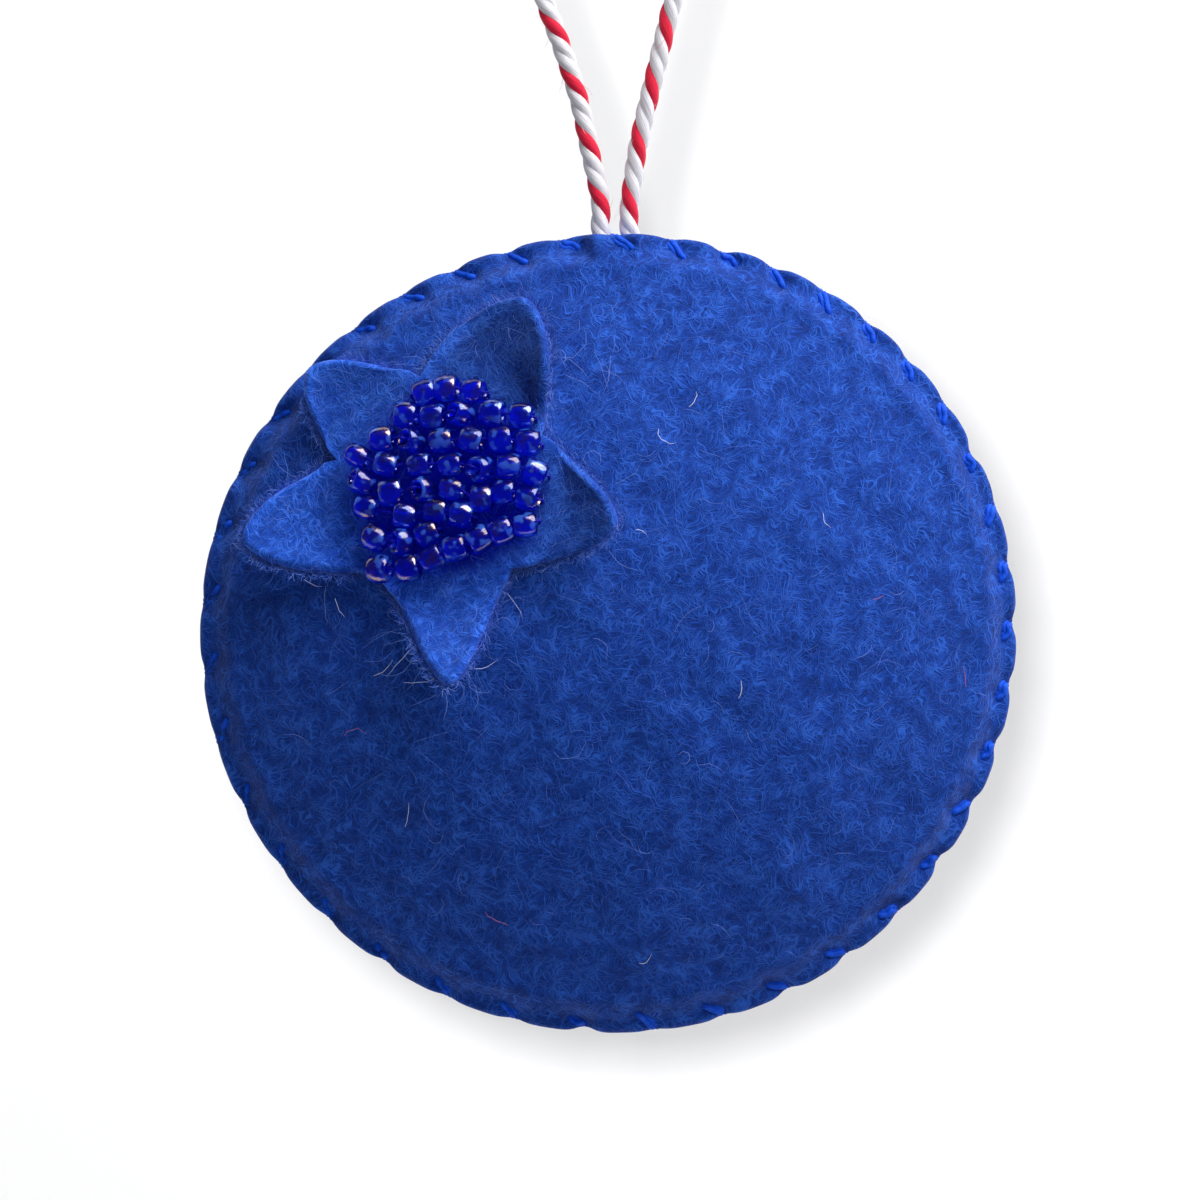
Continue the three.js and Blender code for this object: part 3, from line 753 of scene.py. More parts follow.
def star_rise(x, z):
    """Height under the star: the felt's own up to the last beads, then each petal's own slope"""
    across, up = x - STAR_MIDDLE[0], z - STAR_MIDDLE[1]
    away = np.maximum(np.hypot(across, up), 1e-6)
    across, up = across / away, up / away
    run = np.maximum(away - LIFT_START, 0)
    start, before = (
        outer_rise(STAR_MIDDLE[0] + across * reach, STAR_MIDDLE[1] + up * reach)
        for reach in (LIFT_START, LIFT_START - 1)
    )
    tips = np.array([polar(tip["angle"], 1) for tip in STAR_TIPS])
    facing = (across[..., None] * tips[:, 0] + up[..., None] * tips[:, 1]).argmax(axis=-1)
    lift = np.array([tip["lift"] for tip in STAR_TIPS])[facing]
    beside = away * (across * tips[facing, 1] - up * tips[facing, 0])
    twist = np.array([tip.get("twist", 0.0) for tip in STAR_TIPS])[facing]
    cup = (PETAL_CUP * beside**2 + twist * beside) * smoothstep(run, 0, CUP_RUN)
    lifted = start + (start - before) * run + lift * run**2 / (run + PETAL_EASE) + cup
    return np.where(away <= LIFT_START, outer_rise(x, z), lifted)


def above(rise, x, z, height):
    """Points in front of a rising surface, that high above it and square to it"""
    normal = np.stack([
        rise(x - PROBE, z) - rise(x + PROBE, z),
        np.full(np.shape(x), -2 * PROBE),
        rise(x, z - PROBE) - rise(x, z + PROBE),
    ], axis=-1)
    normal /= np.linalg.norm(normal, axis=-1, keepdims=True)
    return np.stack([x, -rise(x, z), z], axis=-1) + np.asarray(height)[..., None] * normal


print("petals:", len(STAR_TIPS), "lifting", LIFT_START, "mm from the star's middle")

# %% Star outline
TIP_ROUND = 1.7
SIDE_STEPS = 16


def star_outline():
    """The cut line of the star, clockwise, from the middle of the star"""
    line = []
    for number, petal in enumerate(STAR_TIPS):
        angle = petal["angle"]
        before = STAR_TIPS[number - 1]["angle"] + (360 if number == 0 else 0)
        after = STAR_TIPS[(number + 1) % 5]["angle"] - (360 if number == 4 else 0)
        tip = polar(angle, petal["reach"])
        for neighbour, hand in ((before, 1), (after, -1)):
            valley = polar((angle + neighbour) / 2, STAR_VALLEY)
            run = tip - valley
            outward = hand * np.array([-run[1], run[0]]) / np.hypot(*run)
            bowed = (valley + tip) / 2 + 2 * petal["bulge"] * outward
            blunt = tip + polar(angle + 90, hand * TIP_ROUND)
            t = np.linspace(0, 1, SIDE_STEPS, endpoint=False)
            t = (t if hand > 0 else 1 - t)[:, None]
            bend = 3 * t * (1 - t) ** 2 * bowed + 3 * t**2 * (1 - t) * blunt
            line.append((1 - t) ** 3 * valley + bend + t**3 * tip)
    return np.concatenate(line)


outline = star_outline()
next_point = np.roll(outline, -1, axis=0)

# %% Skin of the star
CUT_SHARE = 0.97


def star_ring(share, height):
    """The cut line drawn in to a share of its reach, that high above the felt"""
    x, z = STAR_MIDDLE[0] + share * outline[:, 0], STAR_MIDDLE[1] + share * outline[:, 1]
    return above(star_rise, x, z, np.full(len(x), height))


shares = np.concatenate([np.linspace(0.04, 0.9, 24), [0.94, 0.96]])
star_rings = [star_ring(share, STAR_TOP) for share in shares]
for turn in np.linspace(np.pi / 2, -np.pi / 2, 7):
    height = (STAR_TOP + STAR_SEAT) / 2 + FELT / 2 * math.sin(turn)
    star_rings.append(star_ring(CUT_SHARE + (1 - CUT_SHARE) * math.cos(turn), height))
star_rings += [star_ring(share, STAR_SEAT) for share in shares[::-2]]
star_poles = [star_ring(0, height)[:1] for height in (STAR_TOP, STAR_SEAT)]
star_points = np.concatenate([star_poles[0], *star_rings, star_poles[1]]) + DISC_MIDDLE
star_faces = ring_faces(len(star_rings), len(outline), True)
print("star points:", len(star_points))

# %% The star, with painted light and shade
# Painted shade darkens the petals towards the upper right and painted light lifts the others.
PAINTED_SHADE_WAY = math.radians(45)
PAINTED_LIGHT = 0.18
PAINTED_SHADE_FALL = 0.5
PAINTED_SHADE_SPAN = (-7.0, 10.0)
# A painted highlight lightens the felt near the petals' cut edge.
PAINTED_EDGE_HIGHLIGHT = 0.4
EDGE_HIGHLIGHT_SPAN = (0.1, 1.9)
# Painted blue shade darkens the star's felt between the beads.
PAINTED_GLASS_SHADE = 0.9
GLASS_SHADE_SPAN = (6.5, 9.5)
outline_angle = np.arctan2(outline[:, 1], outline[:, 0])


def from_cut(across, up):
    """How far inside the star's cut line a place lies, from the middle of the star, in mm"""
    reach = np.interp(np.arctan2(up, across), outline_angle, np.hypot(*outline.T), period=2 * np.pi)
    return reach - np.hypot(across, up)


felt_star = add_piece("felt_star", star_points, star_faces, star_wool)
across = star_points[:, 0] - STAR_MIDDLE[0]
up = star_points[:, 2] - DISC_MIDDLE[2] - STAR_MIDDLE[1]
# Painted shade and painted light on the petals, kept at each point of the star.
toward_painted_shade = across * math.cos(PAINTED_SHADE_WAY) + up * math.sin(PAINTED_SHADE_WAY)
lie = PAINTED_LIGHT - PAINTED_SHADE_FALL * smoothstep(toward_painted_shade, *PAINTED_SHADE_SPAN)
# Painted highlight along the cut edge.
lie += PAINTED_EDGE_HIGHLIGHT * (1 - smoothstep(from_cut(across, up), *EDGE_HIGHLIGHT_SPAN))
keep(felt_star, "cut", flat_cut(star_points, outline_angle))
keep(felt_star, "lie", lie)
# Painted blue shade, strongest in the middle of the star.
keep(felt_star, "near_glass", PAINTED_GLASS_SHADE * (1 - smoothstep(np.hypot(across, up), *GLASS_SHADE_SPAN)))
on_berry(felt_star, "calyx_star")
print("star in place:", felt_star.name)

# %% [markdown]
# ## Seed beads
# The beads are short rings cut from a drawn glass tube and fire-polished, so their edges are round.
# They lie in rows on their thread, each with its bore along the row; a few have tipped over and show
# the bore. A torus would do for one, but no two are alike: each is lathed from a rounded section, set
# where its CAD bead is, and swells a little where its neighbours leave it room.

# %% Bead places
BEAD_LENGTH = 1.7
BEAD_BORE = 1.0
BEAD_HEIGHT = STAR_TOP + 0.3 + BEAD_RADIUS
STANDING_TILT = math.radians(55)
BEAD_ROWS = (
    ((-2.1, 8.7), (0, 9.1), (2.5, 8.8)),
    ((-3.8, 6.6), (-1.3, 6.5), (1.3, 6.7), (4.3, 6.8), (7, 6.5)),
    ((-6, 4.4), (-3.3, 4.2), (-0.5, 4.2), (2.4, 4.3), (5.1, 4.3), (7.6, 4)),
    ((-8.3, 2.8), (-5.6, 2), (-2.5, 2), (0.4, 2), (3.2, 1.5), (5.8, 1.8), (8.2, 1.2)),
    ((-7.9, 0.4), (-5.2, -0.6), (-2.1, -0.3), (0.5, -0.3), (3.3, -1.2), (5.4, -0.6), (7.6, -1.1)),
    ((-7.4, -2), (-3.9, -2.7), (-0.9, -2.3), (1.4, -2.7)),
    ((-6.6, -4.8), (-4.1, -5.2), (-1.8, -4.4)),
    ((-6.2, -7.7), (-3.5, -7.6), (-1.3, -6.7), (0.9, -5.8), (3, -5), (5.1, -4.2), (7.3, -3.6)),
)
STANDING_BEADS = (6, 10, 19, 22, 24, 34)
OUTWARD_LEAN = 1 + 2 * PUFF * BEAD_HEIGHT / DISC_RADIUS**2


def over_felt(x, z, height):
    """One point above the front felt, in the frame of the disc"""
    return above(outer_rise, np.array([float(x)]), np.array([float(z)]), np.array([height]))[0]


def unit(vector):
    """The vector with length one"""
    return vector / np.linalg.norm(vector)


bead_rows = []
for row in BEAD_ROWS:
    beads = []
    for k, seen_at in enumerate(row):
        x, z = (np.array(STAR_MIDDLE) + seen_at) / OUTWARD_LEAN
        before, after = row[max(k - 1, 0)], row[min(k + 1, len(row) - 1)]
        slope = (after[1] - before[1]) / (after[0] - before[0])
        centre = over_felt(x, z, BEAD_HEIGHT)
        axis = unit(over_felt(x + 1, z + slope, BEAD_HEIGHT) - centre)
        standing = sum(len(done) for done in bead_rows) + k + 1 in STANDING_BEADS
        if standing:
            inward = unit(over_felt(x, z, 0) - centre)
            axis = axis * math.cos(STANDING_TILT) + inward * math.sin(STANDING_TILT)
        beads.append({"x": x, "z": z, "slope": slope, "centre": centre, "axis": axis, "standing": standing})
    bead_rows.append(beads)
all_beads = [bead for beads in bead_rows for bead in beads]
print("beads:", len(all_beads))

# %% [markdown]
# The glass is cobalt blue, with a fired-on lustre: a film of metal oxide so thin that it mirrors pale
# blue and bronze in patches while the glass still shows through. A painted gradient would look the
# same from all sides, so the film is left to the shader: an uneven share of it lies over the body. The
# body is clear glass that also glows a little through, as deep colour does, with small pale patches
# painted on as highlights where light focused through the glass would brighten it. Glass lets blue
# light fall on the felt between the beads, and coloured transparent shadows give that without the
# noise of real caustics.

# %% Lustred glass material
# Scales count per metre: hues change over 2.4 mm, patches over 1.4, painted highlights over 1 and ripples
# over 0.6.
lustre_glass, tree = new_material("lustred_cobalt_glass")
place = add_node(tree, "ShaderNodeTexCoord").outputs["Object"]
patches = add_node(tree, "ShaderNodeTexNoise", {"Scale": 700.0, "Detail": 2.0}, {"Vector": place})
hues = add_node(tree, "ShaderNodeTexNoise", {"Scale": 420.0, "Detail": 1.0}, {"Vector": place})
ripple = add_node(tree, "ShaderNodeTexNoise", {"Scale": 1700.0, "Detail": 1.0}, {"Vector": place})
painted_highlight_spots = add_node(tree, "ShaderNodeTexNoise", {"Scale": 1000.0, "Detail": 1.0}, {"Vector": place})
tints = add_node(
    tree, "ShaderNodeValToRGB", {"stops": {0.42: "#8fa8f4", 0.58: "#c8a888"}}, {"Fac": hues},
)
rippled = add_node(tree, "ShaderNodeBump", {"Strength": 0.6, "Distance": 0.06 * MM}, {"Height": ripple})
film = add_node(
    tree, "Principled BSDF", {"Metallic": 1.0, "Roughness": 0.2}, {"Base Color": tints, "Normal": rippled},
)
film_share = add_node(
    tree, "ShaderNodeMapRange", {"From Min": 0.5, "From Max": 0.62, "To Min": 0.08, "To Max": 0.45},
    {"Value": patches},
)
# Painted highlight: pale patches where light focused through the glass would brighten it.
highlight_share = add_node(
    tree, "ShaderNodeMapRange", {"From Min": 0.37, "From Max": 0.44, "To Min": 0.4, "To Max": 0.0},
    {"Value": painted_highlight_spots},
)
glass = add_node(
    tree, "ShaderNodeBsdfRefraction", {"Color": linear("#3a58ff"), "Roughness": 0.02, "IOR": 1.52},
)
depth = add_node(tree, "ShaderNodeBsdfTranslucent", {"Color": linear("#2c70ff")})
# The pale diffuse paints highlights in place of light focused through the glass.
pale = add_node(tree, "ShaderNodeBsdfDiffuse", {"Color": linear("#4c88ff")})
polish = add_node(tree, "ShaderNodeBsdfGlossy", {"Color": linear("#ffffff"), "Roughness": 0.1})
stain = add_node(tree, "ShaderNodeBsdfTransparent", {"Color": linear("#1018c8")})
shadow_ray = add_node(tree, "ShaderNodeLightPath").outputs["Is Shadow Ray"]
body = add_node(tree, "ShaderNodeMixShader", {0: 0.38}, {1: glass, 2: depth})
highlighted = add_node(tree, "ShaderNodeMixShader", links={0: highlight_share, 1: body, 2: pale})
polished = add_node(tree, "ShaderNodeMixShader", {0: 0.05}, {1: highlighted, 2: polish})
lustred = add_node(tree, "ShaderNodeMixShader", links={0: film_share, 1: polished, 2: film})
bead_surface = add_node(tree, "ShaderNodeMixShader", links={0: shadow_ray, 1: lustred, 2: stain})
add_node(tree, "Material Output", links={"Surface": bead_surface})
print("bead material:", lustre_glass.name)

# %% The beads
BEAD_SIDES = 28
FAR_OFF = 9
LONGEST = 1.25
WIDEST = 1.18
AXIS_TIP = 0.12
WOBBLE = 0.03
bead_luck = np.random.default_rng(11)
section = full_turn(20)
wall = (BEAD_RADIUS - BEAD_BORE / 2) / 2
section_reach = BEAD_RADIUS - wall + wall * np.cos(section)
section_along = BEAD_LENGTH / 2 * np.sin(section)
bead_turn = full_turn(BEAD_SIDES)
ring_index = np.arange(BEAD_SIDES * len(section)).reshape(BEAD_SIDES, len(section))
next_ring = np.roll(ring_index, -1, axis=0)
bead_faces = np.stack(
    [ring_index, next_ring, np.roll(next_ring, -1, 1), np.roll(ring_index, -1, 1)], axis=-1,
).reshape(-1, 4)[:, ::-1].tolist()

for number, bead in enumerate(all_beads, start=1):
    away = np.array([other["centre"] - bead["centre"] for other in all_beads if other is not bead])
    along = np.abs(away @ bead["axis"])
    across = np.linalg.norm(away - (away @ bead["axis"])[:, None] * bead["axis"], axis=1)
    room_along = np.where(across < BEAD_RADIUS, along, FAR_OFF).min() / 2
    beside = np.maximum(across, BEAD_RADIUS)
    room_across = np.where(along < BEAD_LENGTH * 0.8, beside, FAR_OFF).min() / 2
    long = np.clip(room_along / (BEAD_LENGTH / 2), 1.0, LONGEST)
    scale = np.clip(room_across / BEAD_RADIUS, 1.0, WIDEST)
    axis = unit(bead["axis"] + bead_luck.normal(0, AXIS_TIP, 3))
    side = unit(np.cross(axis, [0.3, 0.2, 1]))
    up = np.cross(axis, side)
    wobble = 1 + WOBBLE * np.sin(2 * bead_turn + bead_luck.uniform(0, 6))
    spoke = np.cos(bead_turn)[:, None] * side + np.sin(bead_turn)[:, None] * up
    reach = scale * section_reach * wobble[:, None]
    points = bead["centre"] + reach[..., None] * spoke[:, None] + long * section_along[:, None] * axis
    ring = add_piece(f"bead_{number:02d}", points.reshape(-1, 3) + DISC_MIDDLE, bead_faces, lustre_glass)
    on_berry(ring, f"seed_bead_{number:02d}")
print("bead quads each:", len(bead_faces))

# %% [markdown]
# ## Threads
# The edge is closed by a whip stitch: the thread comes over the rim, dives through both felts and comes
# over the rim again. The thread is doubled, so two strands lie side by side, brighter than the felt and
# sunk in a trench of their own. A bevelled curve would leave one round cord, so each strand is a tube
# beside the thread's path. Floss shines along its fibres more than felt does, so it gets a lower
# roughness and no sheen. A second, finer thread of nylon strings the beads. Fibres are drawn 0.1 mm
# wide, about five times too wide, so that they show.

# %% Sewing thread materials
THREAD_FIBRE = (0.1, 0.1, 1.2)
sewing_thread = spun_yarn(
    "royal_blue_cotton_floss", "#1060f4", "#0a3cbc", THREAD_FIBRE, depth=0.06, roughness=0.7, sheen=0.0,
)
bead_nylon = spun_yarn(
    "navy_nylon_thread", "#0c10b4", "#080a80", THREAD_FIBRE, depth=0.03, roughness=0.5, sheen=0.0,
)
print("thread materials:", sewing_thread.name, bead_nylon.name)

# %% Path of the whip stitch
# Where the thread lies in from the rim or before its hole, and how far it is sunk there.
OVER_RIM = 0.35
PAST_RIM = 0.6
BEFORE_HOLE = 0.4
RIM_SUNK = -0.3
HOLE_SUNK = -0.15
IN_FELT = -0.8


def rim_point(angle, depth, side, lift):
    """A point over one felt near the rim, side -1 front, 0 in the seam, 1 back"""
    x, z = at_angle(angle, rim_radius(angle) - depth)
    return (x, side * (float(felt_rise(np.array([x]), np.array([z]), side or 1)[0]) + lift), z)


whip = [rim_point(crossing_angle[0], 1, 0, 0), rim_point(crossing_angle[0], EDGE_DIP, 0, 0)]
for i in range(STITCHES):
    over, hole, ahead = crossing_angle[i], hole_angle[i], crossing_angle[i + 1]
    dip, next_dip = EDGE_DIP * rim_pull[i], EDGE_DIP * rim_pull[(i + 1) % STITCHES]
    deep = stitch_depth[i]
    whip += [
        rim_point(over, dip + OVER_RIM, -1, RIM_SUNK),
        rim_point((3 * over + hole) / 4, dip + PAST_RIM, -1, 0.2 - sink[i]),
        rim_point((over + 2 * hole) / 3, deep - BEFORE_HOLE, -1, 0.14 - sink[i]),
        rim_point(hole, deep, -1, HOLE_SUNK),
    ]
    if i + 1 == STITCHES:
        whip.append(rim_point(hole, deep, 0, 0))
        break
    whip += [
        rim_point(hole, deep, -1, IN_FELT),
        rim_point(hole, deep, 1, IN_FELT),
        rim_point(hole, deep, 1, HOLE_SUNK),
        rim_point((ahead + 2 * hole) / 3, deep - BEFORE_HOLE, 1, 0.02),
        rim_point((3 * ahead + hole) / 4, next_dip + PAST_RIM, 1, 0.1),
        rim_point(ahead, next_dip + OVER_RIM, 1, RIM_SUNK),
        rim_point(ahead, next_dip + 0.2, 0, 0),
    ]
whip_path = smooth_path(whip, 0.12)
print("whip stitch thread:", round(run_along(whip_path)[-1]), "mm")

# %% Two strands side by side
STRAND = 0.29
STRAND_APART = 0.72 * STRAND
STRAND_SPIN = 1.5
round_rim = np.arctan2(whip_path[:, 2], whip_path[:, 0])
core = (rim_radius(round_rim) - STITCH_DEPTH / 2)[:, None]
core = core * np.stack([np.cos(round_rim), 0 * round_rim, np.sin(round_rim)], axis=-1)
beside = np.cross(np.gradient(whip_path, axis=0), whip_path - core)
beside /= np.linalg.norm(beside, axis=1, keepdims=True)
strands = np.stack([whip_path + STRAND_APART * beside, whip_path - STRAND_APART * beside])
points, faces, lay = yarn_tubes(strands, STRAND, 10, STRAND_SPIN)
whip_stitch = add_piece("whip_stitch", points + DISC_MIDDLE, faces, sewing_thread)
keep(whip_stitch, "lay", lay)
on_berry(whip_stitch, "edge_thread")
print("whip stitch quads:", len(faces))

# %% Bead thread
# It comes up beside a row, runs through its beads, and goes down to the next row, which runs back.
BEAD_THREAD = 0.3
UNDER_FELT = -FELT - 0.3 - BEAD_THREAD / 2
BESIDE = BEAD_LENGTH / 2 + BEAD_THREAD


def down_beside(bead, end):
    """The thread's way down beside one end of a bead, through the star and the felt"""
    x, z = bead["x"] + end * BESIDE, bead["z"] + end * bead["slope"] * BESIDE
    return [over_felt(x, z, height) for height in (BEAD_HEIGHT, STAR_TOP, UNDER_FELT)]


strung = []
for number, beads in enumerate(bead_rows):
    way = -1 if number % 2 == 0 else 1
    order = beads[::way]
    strung += down_beside(order[0], -way)[::-1]
    for bead in order:
        half = way * (BEAD_LENGTH / 2 + (0.3 if bead["standing"] else 0))
        strung += [bead["centre"] - half * bead["axis"], bead["centre"] + half * bead["axis"]]
    strung += down_beside(order[-1], way)
strung_path = smooth_path(strung, 0.2)
points, faces, lay = laid_yarns(strung_path, 2, 1.2, offset=0.07, radius=0.085, sides=6)
bead_string = add_piece("bead_string", points + DISC_MIDDLE, faces, bead_nylon)
keep(bead_string, "lay", lay)
on_berry(bead_string, "bead_thread")
print("bead thread:", round(run_along(strung_path)[-1]), "mm")

# %% [markdown]
# ## Inside: fibrefill and knot
# Nothing of these shows, but the berry is built like the real one: a lens of white polyester fibre fills
# it, and the twine's two ends meet in a knot in a pocket at the top, so that the loop can't pull out.
# Loose fibre could be thousands of hairs; unseen, a tufted skin under the felts is enough.

# %% Fibrefill material
# Carded polyester is soft and white, in tufts about 4 mm wide.
fibrefill, tree = new_material("white_polyester_fibrefill")
place = add_node(tree, "ShaderNodeTexCoord").outputs["Object"]
tuft = add_node(tree, "ShaderNodeTexNoise", {"Scale": 250.0, "Detail": 6.0}, {"Vector": place})
tones = add_node(tree, "ShaderNodeValToRGB", {"stops": {0: "#d5d4ce", 1: "#fbfaf6"}}, {"Fac": tuft})
bump = add_node(tree, "ShaderNodeBump", {"Strength": 0.8, "Distance": MM}, {"Height": tuft})
add_node(
    tree, "Principled BSDF", {"Roughness": 1.0, "Sheen Weight": 0.3}, {"Base Color": tones, "Normal": bump},
)
print("fill material:", fibrefill.name)

# %% Fibrefill
KNOT = (1.1, 26.2)
POCKET = 6.5
UNDER_INSIDE = 1.2
fill_angle = full_turn(120)
fill_rings = []
for side, depths in ((-1, np.linspace(36, 4, 16)), (1, np.linspace(4, 36, 16))):
    for depth in depths:
        x, z = at_angle(fill_angle, rim_radius(fill_angle) * (1 - depth / DISC_RADIUS))
        tufts = 0.35 * np.sin(1.3 * x + 0.7 * z) * np.cos(1.1 * z - 0.5 * x)
        pocket = 1 - np.exp(-(((x - KNOT[0]) / POCKET) ** 2) - (np.minimum(z - KNOT[1], 0) / POCKET) ** 2)
        height = (inner_rise(x, z) - UNDER_INSIDE + tufts) * np.where(z > 0, pocket, 1)
        fill_rings.append(np.stack([x, side * np.maximum(height, 0.2), z], axis=-1))
pole = float(inner_rise(0.0, 0.0)) - UNDER_INSIDE
points = np.concatenate([[[0, -pole, 0]], *fill_rings, [[0, pole, 0]]]) + DISC_MIDDLE
fill = add_piece("fibre_fill", points, ring_faces(len(fill_rings), len(fill_angle), False), fibrefill)
on_berry(fill, "stuffing")
print("fibrefill points:", len(points))

# %% The knot in the twine's ends
KNOT_RADIUS = 2.3
TAIL_IN = 1.1
knot_turn = full_turn(60)
knot_reach = KNOT_RADIUS * (2 + np.cos(3 * knot_turn)) / 2
knot_line = np.stack([
    KNOT[0] + knot_reach * np.cos(2 * knot_turn),
    KNOT_RADIUS / 2 * np.sin(3 * knot_turn),
    KNOT[1] + knot_reach * np.sin(2 * knot_turn),
], axis=-1)
tails = []
for x, into in ((0.4, -TAIL_IN), (3.1, TAIL_IN)):
    tails.append([(x, 0, 34.6), (x, 0, 32.8), (KNOT[0] + into, 0, KNOT[1])])
knot_points, knot_faces, knot_lay = [], [], []
for line in [np.concatenate([knot_line, knot_line[:1]]), *tails]:
    points, faces, lay = laid_yarns(
        smooth_path(line, 0.3), 3, TWINE_PITCH, offset=0.42, radius=0.42, sides=10,
    )
    start = sum(len(p) for p in knot_points)
    knot_faces += [[start + corner for corner in face] for face in faces]
    knot_points.append(points)
    knot_lay.append(lay)
knot = add_piece("twine_knot", np.concatenate(knot_points) + DISC_MIDDLE, knot_faces, white_cotton)
keep(knot, "lay", np.concatenate(knot_lay))
on_berry(knot, "twine_tails")
print("knot quads:", len(knot_faces))

# %% [markdown]
# ## Nap and lint
# What makes felt look like felt is its nap: loose fibre ends that stand a little off the mat and catch
# the light, thickest where the scissors cut it. Particle hair would not leave the scene as geometry, so
# each hair is a thin bent tube, three-sided, laid on the surface by the same formulas. Real hairs are
# about 0.03 mm thick; most of these are up to twice that, the least that shows. Longer strays stand off
# the petals' edges and droop a little, and some threads of white, pink and pale blue lint cling to the
# felt, as they do to any handled piece.

# %% Hair material
# A hair shows its own tone of the dyed wool, with little gloss.


def fine_hair(name, stops, settings):
    """Fine loose fibres, each in its own tone along the stops"""
    material, tree = new_material(name)
    tone = add_node(tree, "ShaderNodeAttribute", {"attribute_name": "tone"}).outputs["Fac"]
    tones = add_node(tree, "ShaderNodeValToRGB", {"stops": stops}, {"Fac": tone})
    add_node(tree, "Principled BSDF", settings, {"Base Color": tones})
    return material


wool_hair = fine_hair(
    "stray_wool_hair", {0: "#1c429c", 0.75: "#3059b8", 1: "#7490de"},
    {"Roughness": 0.7, "Specular IOR Level": 0.2},
)
print("hair material:", wool_hair.name)

# %% Hair helpers
HAIR_POINTS = 6
HAIR_SIDES = 3
HAIR_SEAT = 0.04
HAIR_CRIMP = 0.15


def lay_hairs(luck, x, z, heading, length, bend, lift, surface):
    """Bent hair lines on a surface: surface gives points from x, z and a height above it"""
    t = np.linspace(0, 1, HAIR_POINTS)
    crimp = luck.normal(0, HAIR_CRIMP, (len(x), HAIR_POINTS))
    turn = heading[:, None] + bend[:, None] * (t - 0.5) + crimp
    step = length[:, None] / (HAIR_POINTS - 1)
    run_x = np.cumsum(np.cos(turn) * step, axis=1)
    run_z = np.cumsum(np.sin(turn) * step, axis=1)
    height = HAIR_SEAT + lift[:, None] * t**1.5
    return surface(x[:, None] + run_x, z[:, None] + run_z, height)


def within_rim(lines, margin):
    """Which hairs stay that far inside the rim, in mm"""
    return np.hypot(lines[..., 0], lines[..., 2]).max(axis=1) < DISC_RADIUS - margin


def on_felt(side):
    """The outside of one round felt as a surface for hairs"""
    return lambda x, z, height: np.stack([x, side * (felt_rise(x, z, side) + height), z], axis=-1)


def add_hairs(name, lines, thickness, tone, slot, inside=slice(None), material=wool_hair, body="berry"):
    """One mesh of the tapered hairs that are inside, too fine to throw a shadow"""
    taper = np.interp(np.linspace(0, 1, HAIR_POINTS), [0, 0.2, 0.7, 1], [0.7, 1, 0.9, 0.25])
    radii = thickness[inside][:, None] / 2 * taper
    points, faces = tubes(lines[inside] + DISC_MIDDLE, radii, HAIR_SIDES)
    piece = add_piece(name, points, faces, material)
    piece.visible_shadow = False
    keep(piece, "tone", np.repeat(tone[inside], HAIR_POINTS * HAIR_SIDES))
    if body:
        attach(piece, body)
    print(name, len(radii), "hairs,", len(faces), "quads")
    return piece


# %% Nap of the round felts
FELT_HAIRS = 6500
for name, side in (("front_nap", -1), ("back_nap", 1)):
    luck = np.random.default_rng(20 + side)
    radius = (DISC_RADIUS - 1.3) * np.sqrt(luck.uniform(0, 1, FELT_HAIRS))
    x, z = at_angle(luck.uniform(0, 2 * np.pi, FELT_HAIRS), radius)
    lines = lay_hairs(
        luck, x, z,
        heading=luck.uniform(0, 2 * np.pi, FELT_HAIRS), length=0.8 + luck.exponential(1.0, FELT_HAIRS),
        bend=luck.normal(0, 1.3, FELT_HAIRS), lift=luck.exponential(0.1, FELT_HAIRS), surface=on_felt(side),
    )
    tone = luck.beta(1.6, 2.8, FELT_HAIRS)
    thickness = luck.uniform(0.035, 0.065, FELT_HAIRS)
    add_hairs(name, lines, thickness, tone, "wool_felt", within_rim(lines, 0.9))

# %% Nap of the star
STAR_HAIRS = 1600
luck = np.random.default_rng(31)
place = outline[luck.integers(0, len(outline), STAR_HAIRS)]
place = STAR_MIDDLE + place * np.sqrt(luck.uniform(0.05, 0.97, STAR_HAIRS))[:, None]
lines = lay_hairs(
    luck, *place.T,
    heading=luck.uniform(0, 2 * np.pi, STAR_HAIRS), length=luck.uniform(0.8, 2.4, STAR_HAIRS),
    bend=luck.normal(0, 1.6, STAR_HAIRS), lift=np.minimum(luck.exponential(0.15, STAR_HAIRS), 0.4),
    surface=lambda x, z, height: above(star_rise, x, z, STAR_TOP + height),
)
on_star = from_cut(lines[..., 0] - STAR_MIDDLE[0], lines[..., 2] - STAR_MIDDLE[1]).min(axis=1) > -0.1
thickness, tone = luck.uniform(0.03, 0.06, STAR_HAIRS), luck.beta(2.0, 2.0, STAR_HAIRS)
add_hairs("star_nap", lines, thickness, tone, "star_felt", on_star)

# %% Hair on the cut edges of the petals
EDGE_HAIRS = 5000
EDGE_MARGIN = 1.5
luck = np.random.default_rng(32)
edge_step = np.linalg.norm(next_point - outline, axis=1)
edge_odds = edge_step / edge_step.sum()
edge_way = next_point - np.roll(outline, 1, axis=0)
edge_outward = np.arctan2(edge_way[:, 0], -edge_way[:, 1])
number = luck.choice(len(outline), EDGE_HAIRS, p=edge_odds)
lines = lay_hairs(
    luck, *(STAR_MIDDLE + 0.985 * outline[number]).T,
    heading=edge_outward[number] + luck.normal(0, 0.9, EDGE_HAIRS),
    length=0.35 + np.minimum(luck.exponential(0.45, EDGE_HAIRS), 0.9),
    bend=luck.normal(0, 1.2, EDGE_HAIRS), lift=luck.uniform(0.1, 0.9, EDGE_HAIRS),
    surface=lambda x, z, height: above(star_rise, x, z, STAR_SEAT + height),
)
thickness, tone = luck.uniform(0.04, 0.07, EDGE_HAIRS), luck.beta(4.0, 1.4, EDGE_HAIRS)
add_hairs("petal_edge_nap", lines, thickness, tone, "star_felt", within_rim(lines, EDGE_MARGIN))

